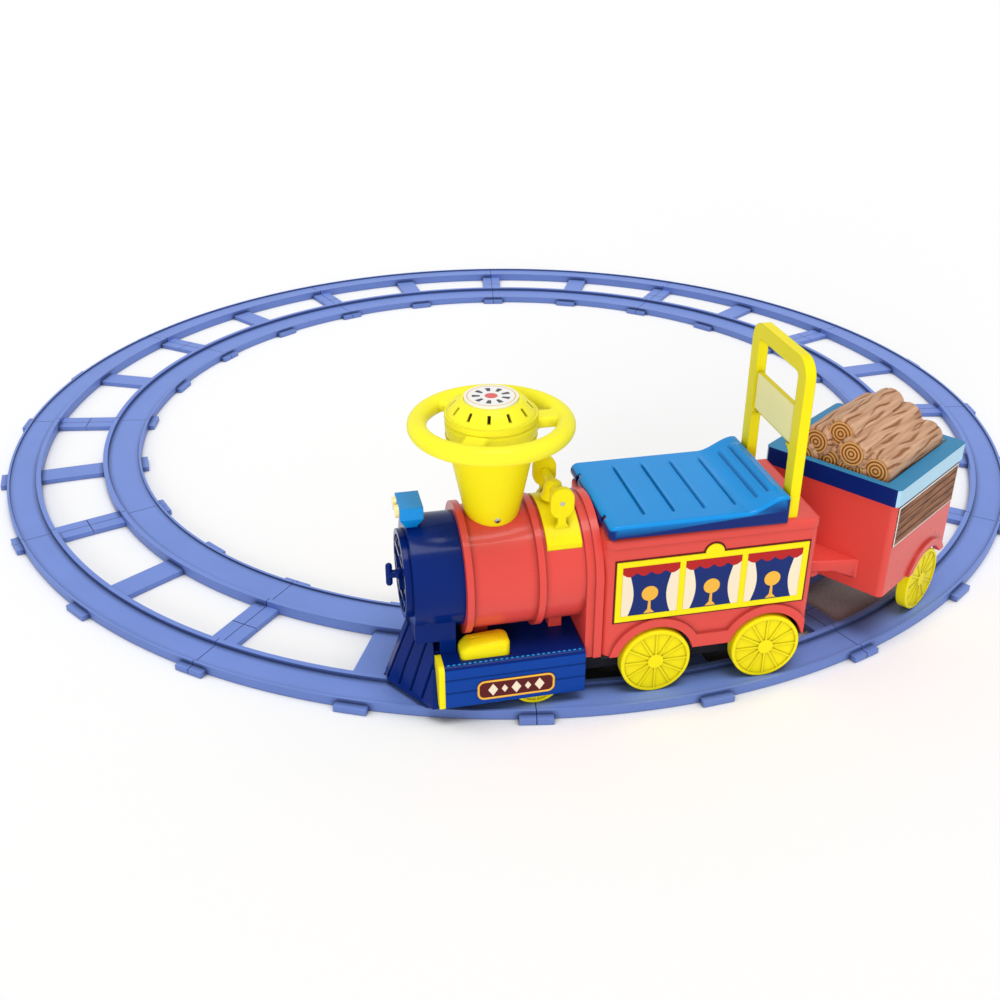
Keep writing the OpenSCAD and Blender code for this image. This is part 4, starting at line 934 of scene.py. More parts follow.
    def slot_mask(self, side: np.ndarray, outline: np.ndarray) -> np.ndarray:
        """Opens the nose where the cab's hinge lugs pass.

        Args:
            side: Places of the rows across the seat.
            outline: Points of the side outline.

        Returns:
            Which faces to keep.
        """
        mid = (side[1:] + side[:-1]) / 2
        point = (outline[1:] + outline[:-1]) / 2
        in_slot = np.abs(np.abs(mid) - self.lug_side) < self.lug_slot
        level = self.pivot[2] + (self.high[0] - self.pivot[0]) * math.sin(math.radians(self.lug_angle))
        on_nose = (point[:, 0] > self.pivot[0]) & (point[:, 1] < level)
        return ~(in_slot[:, None] & on_nose[None])


@dataclass
class SteeringWheel:
    """Yellow steering wheel: thick rim, three wide spokes and a round hub, blended into one moulding."""

    rim: float = 25.0
    hub: float = 117.0
    hub_height: float = 21.0
    hub_round: float = 4.0
    hub_draft: float = 1.0
    hub_eye: float = 1 / 8
    spoke_angles: tuple[float, ...] = (60.0, 180.0, 300.0)
    spoke_half: float = 15.0
    spoke_height: float = 15.0
    spoke_round: float = 5.0
    spoke_root: float = 1 / 3
    flare: float = 9.0
    voxel: float = 2.0
    smoothing: int = 6
    smooth_factor: float = 0.5
    rim_steps: int = 144
    section_steps: int = 28
    hub_steps: int = 96
    hub_round_steps: int = 6
    spoke_steps: int = 24

    def build(self) -> None:
        """Makes the rim, hub and spokes as lofts and melts them together."""
        low, high = LOCO.span("steering_wheel")
        axis = LOCO.local(joint_place("steering_turn"))
        ring_r = (high[1] - low[1]) / 2 - self.rim / 2
        shape = Shape()
        self.add_rim(shape, axis, ring_r)
        self.add_hub(shape, axis, low[2])
        for angle in self.spoke_angles:
            self.add_spoke(shape, axis, ring_r, math.radians(angle))
        made = shape.build("steering_wheel_moulding", LOCO, Plastic.LIT_YELLOW.value, "steering", ("steering_wheel",))
        melt = made.modifiers.new("melt", "REMESH")
        melt.mode = "VOXEL"
        melt.voxel_size = self.voxel * MM
        melt.use_smooth_shade = True
        smooth = made.modifiers.new("smooth", "SMOOTH")
        smooth.iterations = self.smoothing
        smooth.factor = self.smooth_factor

    def add_rim(self, shape: Shape, axis: np.ndarray, ring_r: float) -> None:
        """Adds a ring of round section: the section's angle goes along the columns, the turn along the rows.

        Args:
            shape: Surface to add to.
            axis: Place of the wheel's middle.
            ring_r: Radius at the middle of the rim.
        """
        turn = np.linspace(0, FULL_TURN, self.rim_steps + 1)[:, None]
        section = full_turn(self.section_steps)[None]
        reach, rise = (self.rim / 2 * f(section) for f in (np.cos, np.sin))
        shape.grid(around(axis, ring_r + reach, axis[2] + rise, turn), closed=True)

    def add_hub(self, shape: Shape, axis: np.ndarray, bottom: float) -> None:
        """Adds a round hub: a profile of radius and height turned about the steering axis.

        Args:
            shape: Surface to add to.
            axis: Place of the wheel's middle.
            bottom: Height of the hub's foot.
        """
        r, h = self.hub / 2, self.hub_height
        top = arc((r - self.hub_round, h - self.hub_round), self.hub_round, 0, 90, self.hub_round_steps)
        profile = np.concatenate([[[r - self.hub_draft, 0.0]], top, [[r * self.hub_eye, h]]])
        shape.loft(around(axis, profile[:, :1], bottom + profile[:, 1:], full_turn(self.hub_steps)[None]))

    def add_spoke(self, shape: Shape, axis: np.ndarray, ring_r: float, angle: float) -> None:
        """Adds a flat spoke: a round box carried outwards, which widens at the hub and at the rim.

        The width grows by the fourth power of the distance from the spoke's middle.

        Args:
            shape: Surface to add to.
            axis: Place of the wheel's middle.
            ring_r: Radius at the middle of the rim.
            angle: Direction of the spoke, from forward to the left.
        """
        reach = np.linspace(self.hub * self.spoke_root, ring_r, self.spoke_steps)
        share = (reach - reach[0]) / (reach[-1] - reach[0])
        widen = 1 + self.flare / self.spoke_half * (2 * share - 1) ** 4
        section = round_box((self.spoke_half, self.spoke_height / 2), self.spoke_round)
        across = widen[:, None] * section[None, :, 0]
        rise = np.broadcast_to(section[None, :, 1], across.shape)
        out = np.broadcast_to(reach[:, None], across.shape)
        shape.loft(np.stack([axis[0] + out * math.cos(angle) - across * math.sin(angle),
                             axis[1] + out * math.sin(angle) + across * math.cos(angle), axis[2] + rise], axis=-1))


@dataclass
class Pedals:
    """Two yellow foot pedals with round edges and a nose that slopes down to the front."""

    corner: float = 9.0
    edge: float = 6.0
    flange: float = 3.0
    nose_share: float = 0.30
    nose_fall: float = 0.2604
    front_drop: float = 2.0
    rear_drop: float = 2.5
    foot_shares: tuple[float, float] = (1.0, 0.6)
    last_loop: float = 0.03
    edge_steps: int = 8
    top_steps: int = 7

    def build(self) -> None:
        """Makes each pedal from loops that climb its sides and close over its top."""
        for name, body in (("left_pedal", "pedal_left"), ("right_pedal", "pedal_right")):
            shape = Shape()
            shape.loft(self.loops(*LOCO.span(name)))
            shape.build(name + "_pad", LOCO, Plastic.YELLOW.value, body, (name,))

    def loops(self, low: np.ndarray, high: np.ndarray) -> np.ndarray:
        """Works out round-cornered loops: straight up the side, round the edge, then drawn in over the top.

        The top eases down over the nose, and falls evenly to the front and by the cube of the distance to the rear.

        Args:
            low: Lowest forward, left and up of the pedal's solid.
            high: Its highest ones.

        Returns:
            The loops' points, from the foot to the middle of the top.
        """
        half = np.array([(high[0] - low[0]) / 2 - self.flange, (high[1] - low[1] - self.flange) / 2])
        side = 1.0 if low[1] > 0 else -1.0
        middle = np.array([(low[0] + high[0]) / 2, (low[1] + high[1] + side * self.flange) / 2])
        turn, level = bend(self.edge_steps), np.zeros(self.top_steps)
        drawn_in = np.linspace(self.edge, half[1], self.top_steps + 1)[1:]
        shrink = np.concatenate([[0.0, 0.0], self.edge * (1 - np.cos(turn)), drawn_in])
        foot = np.concatenate([self.foot_shares, np.zeros(len(turn)), level])[:, None]
        sink = np.concatenate([[self.edge, self.edge], self.edge * (1 - np.sin(turn)), level])[:, None]
        scale = (half[None] - shrink[:, None]) / half[None]
        scale[-1] = self.last_loop
        plan = round_box(tuple(half), self.corner)[None] * scale[:, None, :]
        ahead = (plan[..., 0] + half[0]) / (2 * half[0])
        fall = (high[2] - low[2]) * self.nose_fall * ease((ahead - 1 + self.nose_share) / self.nose_share)
        height = high[2] - fall - self.rear_drop * (1 - ahead) ** 3 - self.front_drop * ahead - sink
        height = height + foot * (low[2] - height)
        return np.stack([plan[..., 0] + middle[0], plan[..., 1] + middle[1], height], axis=-1)


@dataclass
class LogHeap:
    """Heap of moulded logs on the tender: close-packed furrowed bars with drawn-in ends, on a low tray.

    A wave's four numbers are its height, its turns round the log, its run along it and its shift from log to log.
    """

    log_share: float = 0.535
    stoutness: float = 1.17
    top_rise: float = 1.14
    sides: tuple[float, ...] = (-0.71, -0.24, 0.24, 0.70, -0.48, 0.23, -0.08, -0.02, 0.47)
    rises: tuple[float, ...] = (0.0, 0.0, 0.0, 0.20, 0.60, 0.60, 1.06, 0.48, 0.30)
    trims: tuple[float, ...] = (4.0, 13.0, 8.0, 11.0, 7.0, 5.0, 15.0, 17.0, 19.0)
    rear_trims: tuple[float, ...] = (8.0, 4.0, 12.0, 9.0, 13.0, 6.0, 19.0, 15.0, 17.0)
    tray_corner: float = 4.0
    tray_share: float = 0.5
    tray_bark: float = 0.3
    end_round: float = 5.0
    end_crown: float = 0.8
    bulge: float = 1.4
    bulge_waves: tuple[tuple[float, ...], ...] = ((0.5, 3, 5, 1), (0.5, 2, -9, 2))
    furrows: int = 13
    furrow_depth: float = 1.3
    furrow_cut: float = 0.35
    furrow_bark: float = 0.75
    furrow_share: float = 0.6
    wander_waves: tuple[tuple[float, ...], ...] = ((1.6, 2, 7, 1), (0.9, -3, 17, 3))
    patch_waves: tuple[tuple[float, ...], ...] = ((1.0, 5, 9, 1),)
    turn_steps: int = 104
    roll_steps: int = 5
    long_steps: int = 42
    end_rings: int = 7
    last_ring: float = 0.04

    def build(self) -> None:
        """Makes each log as loops along its axis, with rings of points on its sawn ends, and the tray under them."""
        low, high = TENDER.span("log_load")
        half = high[1]
        diameter = half * self.log_share
        first = high[2] - diameter / 2 - diameter * self.top_rise
        stout = diameter / 2 * self.stoutness
        shape = Shape()
        for i, (side, rise, trim, rear) in enumerate(zip(self.sides, self.rises, self.trims, self.rear_trims)):
            center = np.array([np.clip(side * half, stout - half, half - stout), first + rise * diameter])
            self.add_log(shape, center, low[0] + rear, high[0] - trim, stout, i)
        tray = round_box(((high[0] - low[0]) / 2, half), self.tray_corner) + np.array([(low[0] + high[0]) / 2, 0.0])
        levels = np.array([low[2], first - diameter / 2 * self.tray_share])
        shape.plate(tray, Axis.UP, levels, ring=0.0, sawn=0.0, bark=self.tray_bark)
        shape.build("log_heap", TENDER, LogWood(), "tender", ("log_load",), merge=False)

    def add_log(self, shape: Shape, center: np.ndarray, start: float, end: float, radius: float, seed: int) -> None:
        """Adds a round bar whose radius waves along and round it; its ends roll in and close with sawn rings.

        The furrows are the lows of a sine round the log, whose phase wanders along it, and they come in patches.

        Args:
            shape: Surface to add to.
            center: Place of the log's axis, left and up.
            start: Place of its rear end.
            end: Place of its front end.
            radius: Radius before the bulge is taken off.
            seed: Number of the log, which shifts its waves.
        """
        turn = full_turn(self.turn_steps)[None]
        roll = bend(self.roll_steps)
        rear = start + self.end_round * (1 - np.sin(roll))[::-1]
        front = end - self.end_round * (1 - np.sin(roll))
        straight = np.linspace(rear[-1], front[0], self.long_steps + 2)[1:-1]
        along = np.concatenate([rear, straight, front])[:, None]
        draw = self.end_round * (1 - np.cos(roll))
        inset = np.concatenate([draw[::-1], np.zeros(len(straight)), draw])[:, None]
        share = (along - start) / (end - start)
        bulge, wander, patch = (self.waves(terms, turn, share, seed)
                                for terms in (self.bulge_waves, self.wander_waves, self.patch_waves))
        groove = np.clip(-np.sin(self.furrows * turn + wander) - self.furrow_cut, 0, 1) / (1 - self.furrow_cut)
        furrow = groove * np.clip(self.furrow_share + patch, 0, 1)
        swell = self.bulge * (bulge * np.sin(math.pi * share) - 1)
        reach = radius - inset + swell - self.furrow_depth * furrow
        shape.grid(self.ring_points(center, along, reach, turn), closed=True, ring=0.0, sawn=0.0,
                   bark=self.furrow_bark * furrow)
        shares = np.linspace(1, self.last_ring, self.end_rings)[:, None]
        for place, rim, way in ((along[0], reach[:1], -1.0), (along[-1], reach[-1:], 1.0)):
            crown = place + way * self.end_crown * (1 - shares)
            index = shape.grid(self.ring_points(center, crown, rim * shares, turn), closed=True, ring=rim * shares,
                               sawn=1.0, bark=0.0)
            shape.faces.append(index[-1].tolist())

    @staticmethod
    def waves(terms: tuple[tuple[float, ...], ...], turn: np.ndarray, share: np.ndarray, seed: int) -> np.ndarray:
        """Sum of sines round and along a log, each of its own height, turns, run and shift."""
        return sum(h * np.sin(turns * turn + run * share + shift * seed) for h, turns, run, shift in terms)

    @staticmethod
    def ring_points(center: np.ndarray, along: np.ndarray, reach: np.ndarray, turn: np.ndarray) -> np.ndarray:
        """Loops about a log's axis: a reach at each turn, at each place along."""
        along = np.broadcast_to(along, reach.shape)
        return np.stack([along, center[0] + reach * np.cos(turn), center[1] + reach * np.sin(turn)], axis=-1)


@dataclass
class PrintLayer:
    """One colour of a print on the train's sides: thin plates with a back and a face off the ground they lie on."""

    name: str
    finish: Plastic
    back: float
    face: float
    shape: Shape = field(default_factory=Shape)

    def lay(self, outline: np.ndarray, side: float, ground: float, sunk: float = 0.0) -> None:
        """Adds a plate on one side of the train, from its outline in forward and up."""
        self.shape.plate(outline, Axis.LEFT, side * (ground + np.array([self.back, self.face - sunk])))

    def build(self) -> None:
        """Makes the plates one piece of the locomotive."""
        self.shape.build(self.name, LOCO, self.finish.value, "locomotive")


@dataclass
class WindowPanels:
    """Printed window panels on the cab's sides: a dark outline, panes, curtains and a lamp in each pane.

    The sizes of curtains, pelmets and lamps are shares of a pane's width or height.
    """

    bar: float = 8.0
    pane_count: int = 3
    outline: float = 2.5
    frame_depth: float = 2.0
    crest: float = 6.0
    curtain_least: float = 0.12
    curtain_swell: float = 0.20
    curtain_wave: tuple[float, float] = (0.62, 0.38)
    curtain_taper: float = 0.7
    pelmet: float = 0.13
    scallop: float = 0.07
    scallops: int = 4
    lamp_height: float = 0.42
    lamp_radius: float = 0.15
    foot: tuple[tuple[float, float], ...] = ((-0.10, 0.02), (0.10, 0.02), (0.03, 0.10), (0.02, 0.30), (-0.02, 0.30),
                                             (-0.03, 0.10))
    foot_sunk: float = 0.1
    crest_steps: int = 24
    curtain_steps: int = 24
    pelmet_steps: int = 49
    lamp_steps: int = 24
    backing: PrintLayer = field(default_factory=lambda: PrintLayer("window_backing", Plastic.PLAQUE, -0.4, 0.7))
    panes: PrintLayer = field(default_factory=lambda: PrintLayer("window_panes", Plastic.PANE, 0.2, 1.0))
    curtains: PrintLayer = field(default_factory=lambda: PrintLayer("window_curtains", Plastic.CREAM, 0.6, 1.3))
    pelmets: PrintLayer = field(default_factory=lambda: PrintLayer("window_pelmets", Plastic.CLARET, 0.6, 1.5))
    lamps: PrintLayer = field(default_factory=lambda: PrintLayer("window_lamps", Plastic.GOLD, 0.6, 1.3))

    def build(self) -> None:
        """Makes the plates on both sides, one piece for each colour."""
        low, high = LOCO.span("window_frames")
        ground = high[1] - self.frame_depth
        width = (high[0] - low[0] - (self.pane_count + 1) * self.bar) / self.pane_count
        top = high[2] - width / self.crest
        for side in BOTH_SIDES:
            self.backing.lay(self.backing_outline(low, high, top, width), side, ground)
            for i in range(self.pane_count):
                u0 = low[0] + self.bar + i * (width + self.bar)
                self.add_pane((u0, low[2] + self.bar, u0 + width, top - self.bar), side, ground)
        for layer in (self.backing, self.panes, self.curtains, self.pelmets, self.lamps):
            layer.build()

    def backing_outline(self, low: np.ndarray, high: np.ndarray, top: float, width: float) -> np.ndarray:
        """Draws the frame's outline, drawn out all round, with the round crest over its middle.

        Args:
            low: Lowest forward, left and up of the frame.
            high: Its highest ones.
            top: Height of the frame beside the crest.
            width: Width of a pane.

        Returns:
            The outline, in forward and up.
        """
        o = self.outline
        r = width / self.crest + o
        start = math.degrees(math.asin(o / r))
        crest = arc(((low[0] + high[0]) / 2, top), r, start, 180 - start, self.crest_steps)
        return np.concatenate([[[low[0] - o, low[2] - o], [high[0] + o, low[2] - o], [high[0] + o, top + o]], crest,
                               [[low[0] - o, top + o]]])

    def add_pane(self, box: tuple[float, float, float, float], side: float, ground: float) -> None:
        """Adds one pane with two drawn curtains, a scalloped pelmet and a round lamp on a foot.

        A curtain's edge is a squared sine of the height, and a pelmet's edge the size of a sine along it.

        Args:
            box: Lowest forward and up of the pane, and its highest ones.
            side: 1 for the left side and -1 for the right one.
            ground: Distance of the print's ground from the middle.
        """
        u0, w0, u1, w1 = box
        wide, tall = u1 - u0, w1 - w0
        self.panes.lay(np.array([[u0, w0], [u1, w0], [u1, w1], [u0, w1]]), side, ground)
        t = np.linspace(0, 1, self.curtain_steps)
        wave = np.sin(math.pi * np.clip(t * self.curtain_wave[0] + self.curtain_wave[1], 0, 1)) ** 2
        hang = wide * (self.curtain_least + self.curtain_swell * wave * t ** self.curtain_taper)
        for edge, way in ((u0, 1.0), (u1, -1.0)):
            line = np.stack([edge + way * hang, w0 + tall * t], axis=-1)
            self.curtains.lay(np.concatenate([line, [[edge, w1], [edge, w0]]]), side, ground)
        s = np.linspace(0, 1, self.pelmet_steps)
        hem = w1 - tall * (self.pelmet + self.scallop * np.abs(np.sin(self.scallops * math.pi * s)))
        line = np.stack([u0 + wide * s, hem], axis=-1)
        self.pelmets.lay(np.concatenate([line, [[u1, w1], [u0, w1]]]), side, ground)
        middle, last = (u0 + u1) / 2, 360 - 360 / self.lamp_steps
        lamp = arc((middle, w0 + tall * self.lamp_height), tall * self.lamp_radius, 0, last, self.lamp_steps)
        self.lamps.lay(lamp, side, ground)
        self.lamps.lay(np.array(self.foot) * tall + np.array([middle, w0]), side, ground, self.foot_sunk)


@dataclass
class DeckDress:
    """Stud rows along the deck's edges and the gold border and lozenges of the side plates."""

    stud_pitch: float = 7.0
    stud: tuple[float, float, float] = (2.6, 1.3, 1.2)
    stud_inset: float = 6.0
    stud_sink: float = 0.3
    dome_end: float = 80.0
    dome_steps: tuple[int, int] = (5, 12)
    border: float = 1.5
    border_flat: float = 0.6
    border_steps: tuple[int, int] = (12, 10)
    plate_corner: float = 2 / 3
    lozenge_count: int = 5
    lozenge_row: float = 1.5
    lozenge_heights: tuple[float, float] = (0.62, 0.4)
    lozenge_width: float = 0.7
    lozenges: PrintLayer = field(default_factory=lambda: PrintLayer("nameplate_lozenges", Plastic.CREAM, -0.5, 0.8))

    def build(self) -> None:
        """Makes the studs, and the plates' borders and lozenges."""
        self.add_studs()
        self.add_plates()

    def add_studs(self) -> None:
        """Low oval domes in a row: one dome's grid, repeated at every place of the row."""
        low, high = LOCO.span("running_deck")
        rise = bend(self.dome_steps[0], self.dome_end)[:, None]
        turn = full_turn(self.dome_steps[1])[None]
        dome = around(np.zeros(2), np.cos(rise), np.sin(rise), turn) * np.array(self.stud)
        places = np.arange(low[0] + self.stud_pitch, high[0] - self.stud_pitch / 2, self.stud_pitch)
        shape = Shape()
        for side in BOTH_SIDES:
            for u in places:
                shape.loft(dome + np.array([u, side * (high[1] - self.stud_inset), high[2] - self.stud_sink]))
        shape.build("deck_edge_studs", LOCO, Plastic.BLUE.value, "locomotive")

    def add_plates(self) -> None:
        """Border of oval section carried round each plate's edge, and a row of lozenges on its face."""
        low, high = LOCO.span("nameplates")
        half = np.array([(high[0] - low[0]) / 2, (high[2] - low[2]) / 2])
        middle = np.array([(low[0] + high[0]) / 2, (low[2] + high[2]) / 2])
        loop = round_box(tuple(half - self.border), half[1] * self.plate_corner - self.border,
                         self.border_steps[0])
        path = np.concatenate([loop, loop[:1]])
        section = full_turn(self.border_steps[1])
        reach, rise = self.border * np.cos(section), self.border_flat * self.border * np.sin(section)
        flat = middle + path[:, None] - left_of(path)[:, None] * reach[None, :, None]
        borders = Shape()
        for side in BOTH_SIDES:
            depth = np.broadcast_to(side * (high[1] + rise), flat.shape[:2])
            borders.grid(np.stack([flat[..., 0], depth, flat[..., 1]], axis=-1), closed=True)
            for i in range(self.lozenge_count):
                share = (i + 0.5) / self.lozenge_count - 0.5
                tall = half[1] * self.lozenge_heights[i % 2]
                wide = tall * self.lozenge_width
                place = middle + np.array([half[0] * self.lozenge_row * share, 0.0])
                self.lozenges.lay(place + np.array([[wide, 0], [0, tall], [-wide, 0], [0, -tall]]), side, high[1])
        borders.build("nameplate_borders", LOCO, Plastic.GOLD.value, "locomotive")
        self.lozenges.build()


@dataclass
class ColumnScrews:
    """Cross-head screws that hold the foot of the steering column, one on each side, with dark crosses that paint the
    shade of the cross recess.
    """

    radius: float = 4.2
    rise: float = 2.0
    sink: float = 1.0
    head_angles: tuple[float, ...] = (0.0, 25.0, 50.0, 70.0, 85.0)
    below_boiler_top: float = 4.0
    cross_half: tuple[float, float] = (2.6, 0.55)
    cross_foot: float = 0.5
    cross_proud: float = 0.15
    ray_start: float = 200.0
    turn_steps: int = 24

    def build(self) -> None:
        """Sets each screw where a ray towards the column's axis meets its wall."""
        column = frame["nodes"]["steering_column"]
        axis = LOCO.local(joint_place("steering_turn"))
        level = LOCO.span("boiler_shell")[1][2] - self.below_boiler_top
        heads, cross_shades = Shape(), Shape()
        for side in BOTH_SIDES:
            start = LOCO.world(np.array([axis[0], side * self.ray_start, level]))
            found, place, normal, _ = column.ray_cast(Vector(start), Vector(-side * LOCO.left))
            if not found:
                raise RuntimeError("no column wall for a screw")
            self.add_screw(heads, cross_shades, LOCO.local(np.array(place) / MM), LOCO.turned(np.array(normal)))
        heads.build("column_screw_heads", LOCO, Plastic.STEEL.value, "locomotive")
        cross_shades.build("column_screw_cross_shades", LOCO, Plastic.DARK.value, "locomotive")

    def add_screw(self, heads: Shape, cross_shades: Shape, place: np.ndarray, out: np.ndarray) -> None:
        """Adds a head as a dome, radius by the cosine and rise by the sine of one angle, and a cross of two dark
        bars, painted shade of the cross recess.

        Args:
            heads: Surface of the heads.
            cross_shades: Surface of the crosses.
            place: Middle of the screw on the column's wall.
            out: Direction of the screw, out of the wall.
        """
        first = np.array([1.0, 0.0, 0.0])
        second = np.cross(out, first)
        lift = np.radians((0.0, *self.head_angles))[:, None, None]
        height = self.rise * np.sin(lift)
        height[0] = -self.sink
        turn = full_turn(self.turn_steps)[None, :, None]
        heads.loft(place + self.radius * np.cos(lift) * (np.cos(turn) * first + np.sin(turn) * second) + height * out)
        # Painted shade: dark bars stand where the recess of the cross would be in shade.
        long, thin = self.cross_half
        corner = np.array([[1, 1], [-1, 1], [-1, -1], [1, -1]])[..., None]
        height = np.array([self.rise * self.cross_foot, self.rise + self.cross_proud])[:, None, None]
        for a, b in ((first, second), (second, first)):
            cross_shades.loft(place + (corner[:, 0] * long * a + corner[:, 1] * thin * b)[None] + height * out)


@dataclass
class DoorHandle:
    """Dark tee handle in the middle of the smokebox door: a stem and an upright bar with round ends."""

    stem_radius: float = 5.5
    stem_sink: float = 1.0
    foot: float = 2.5
    reach: float = 11.0
    bar_half: float = 17.0
    bar_radius: float = 4.5
    cap_end: float = 86.0
    cap_steps: int = 8
    turn_steps: int = 32

    def build(self) -> None:
        """Turns one profile of radius and place about the stem's axis, and one about the bar's."""
        low, high = LOCO.span("smokebox_door")
        center = np.array([high[0], (low[1] + high[1]) / 2, (low[2] + high[2]) / 2])
        turn = full_turn(self.turn_steps)[None]
        thin, wide = self.stem_radius, self.stem_radius + self.foot
        stem = np.array([[wide, -self.stem_sink], [wide, 0.0], [thin, self.foot], [thin, self.reach]])
        radius, place = stem[:, :1], stem[:, 1:]
        shape = Shape()
        shape.loft(center + np.stack([place + 0 * turn, radius * np.cos(turn), radius * np.sin(turn)], axis=-1))
        cap = bend(self.cap_steps, self.cap_end)
        half_rise = self.bar_half - self.bar_radius + self.bar_radius * np.sin(cap)
        rise = np.concatenate([-half_rise[::-1], half_rise])[:, None]
        thick = self.bar_radius * np.concatenate([np.cos(cap[::-1]), np.cos(cap)])[:, None]
        shape.loft(center + around(np.array([self.reach, 0.0]), thick, rise, turn))
        shape.build("smokebox_door_handle", LOCO, Plastic.NAVY.value, "locomotive")


@dataclass
class DrawbarHood:
    """Red hood over the drawbar: a tongue that narrows from the tender's front wall to the hitch pin."""

    wall_half: float = 62.0
    tip_radius: float = 21.0
    tip_angle: float = 46.0
    wall: float = 3.0
    skirt: float = 7.0
    wall_drop: float = 14.0
    drop_share: float = 0.5
    edge: float = 3.0
    pin_gap: float = 1.0
    tip_steps: int = 24
    edge_steps: int = 6

    def build(self) -> None:
        """Makes the hollow hood from one outline, carried up inside, down and up outside, and drawn in at the top.

        The top edge is a quarter circle: the inset goes by the cosine of an angle and the height by its sine.
        """
        front = TENDER.span("tender_tub")[1][0]
        base = TENDER.span("drawbar")[1][2] - self.skirt
        ceiling = LOCO.span("hitch_pin")[1][2] + self.pin_gap
        top = ceiling + self.wall
        rows = [(self.wall, front + self.wall, ceiling), (self.wall, front + self.wall, base), (0.0, front, base)]
        rows += [(self.edge * (1 - math.cos(b)), front, top - self.edge * (1 - math.sin(b)))
                 for b in bend(self.edge_steps)]
        loops = np.stack([self.outline(*row) for row in rows])
        loops[1:3, [0, -1], 2] -= self.wall_drop
        shape = Shape()
        shape.loft(loops)
        shape.build("drawbar_hood", TENDER, Plastic.RED.value, "tender")

    def outline(self, inset: float, back: float, level: float) -> np.ndarray:
        """Draws a loop at one level: two corners on the wall, a point on each side and an arc round the hitch pin.

        Args:
            inset: How far all of it is drawn in.
            back: Place of the corners.
            level: Height of the loop.

        Returns:
            The loop's points. The side points are where the skirt's drop towards the wall begins.
        """
        pin = TENDER.local(joint_place("hitch_swing"))
        tip = arc((pin[0], pin[1]), self.tip_radius - inset, -self.tip_angle, self.tip_angle,
                  self.tip_steps)
        corner = np.array([[back, inset - self.wall_half], [back, self.wall_half - inset]])
        near = corner + self.drop_share * (tip[[0, -1]] - corner)
        plan = np.concatenate([corner[:1], near[:1], tip, near[1:], corner[1:]])
        return np.insert(plan, Axis.UP, level, axis=1)


@dataclass
class BackrestPad:
    """Pale panel across the backrest frame, at heights over the cab's top."""

    panel_low: float = 95.5
    panel_high: float = 147.0
    half_width: float = 59.6
    half_depth: float = 3.6
    corner: float = 3.0

    def build(self) -> None:
        """Makes the panel as a round-cornered plate across the frame."""
        low, high = LOCO.span("backrest_frame")
        center = LOCO.span("seat_lid")[0][2] + (self.panel_low + self.panel_high) / 2
        loop = round_box((self.half_width, (self.panel_high - self.panel_low) / 2), self.corner)
        ends = (low[0] + high[0]) / 2 + np.array([-self.half_depth, self.half_depth])
        shape = Shape()
        shape.plate(loop + np.array([0.0, center]), Axis.FORWARD, ends)
        shape.build("backrest_panel", LOCO, Plastic.PALE.value, "locomotive")


@dataclass
class PlankPanels:
    """Brown plank panels on the tender's sides, with sunk joints between the boards and a pale edge."""

    boards: int = 5
    joint: float = 0.9
    depth: float = 0.8
    board_wall: float = 1.1
    edge: float = 2.0
    edge_lifts: tuple[float, ...] = (0.0, 0.6, -0.5, -0.5)
    steps: tuple[int, int] = (60, 160)

    def build(self) -> None:
        """Makes each panel as a sheet with sunk joints, and a pale border strip round it.

        A joint is a bell, e to minus the square of the distance from the line between two boards.
        """
        low, high = TENDER.span("plank_panels")
        u, w = (np.linspace(low[i], high[i], n) for i, n in zip((Axis.FORWARD, Axis.UP), self.steps))
        grid_u, grid_w = np.meshgrid(u, w, indexing="ij")
        pitch = (high[2] - low[2]) / self.boards
        joint = np.exp(-(((w - low[2] + pitch / 2) % pitch - pitch / 2) / self.joint) ** 2)
        sunk = self.depth * joint
        sunk[[0, -1]] = 0.0
        corner = np.array([[low[0], low[2]], [high[0], low[2]], [high[0], high[2]], [low[0], high[2]]])
        center = corner.mean(axis=0)
        inner = center + (corner - center) * (1 - 2 * self.edge / (high - low)[[0, 2]])
        planks, borders = Shape(), Shape()
        for side in BOTH_SIDES:
            face = np.broadcast_to(side * (high[1] - sunk), grid_u.shape)
            planks.grid(np.stack([grid_u, face, grid_w], axis=-1), joint=joint)
            ring = np.stack([np.insert(loop, Axis.LEFT, side * (high[1] + lift), axis=1)
                             for loop, lift in zip((corner, inner, inner, corner), self.edge_lifts)])
            borders.grid(np.concatenate([ring, ring[:1]]), closed=True)
        made = planks.build("plank_boards", TENDER, PlankWood(), "tender", ("plank_panels",))
        give_wall(made, self.board_wall)
        borders.build("plank_borders", TENDER, Plastic.WHITE.value, "tender")


@dataclass(frozen=True)
class Sun:
    """Soft parallel light: where it comes from, its strength and how wide it spreads, in degrees.

    It can be left out of gloss, and kept off the CAD nodes whose names start with one word.
    """

    name: str
    place: tuple[float, float, float]
    strength: float
    spread: float
    in_gloss: bool = True
    kept_off: str = ""

    def build(self) -> None:
        """Adds the light, turned to shine from its place to the middle of the scene."""
        data = bpy.data.lights.new(self.name, "SUN")
        data.energy = self.strength
        data.angle = math.radians(self.spread)
        lamp = bpy.data.objects.new(self.name, data)
        lamp.rotation_euler = (-Vector(self.place)).to_track_quat("-Z", "Y").to_euler()
        lamp.visible_glossy = self.in_gloss
        bpy.context.scene.collection.objects.link(lamp)
        if self.kept_off:
            shaded = bpy.data.collections.new(self.name + "_kept_off")
            lamp.light_linking.receiver_collection = shaded
            for name, node in frame["nodes"].items():
                if name.startswith(self.kept_off):
                    shaded.objects.link(node)
            for item in shaded.collection_objects:
                item.light_linking.link_state = "EXCLUDE"


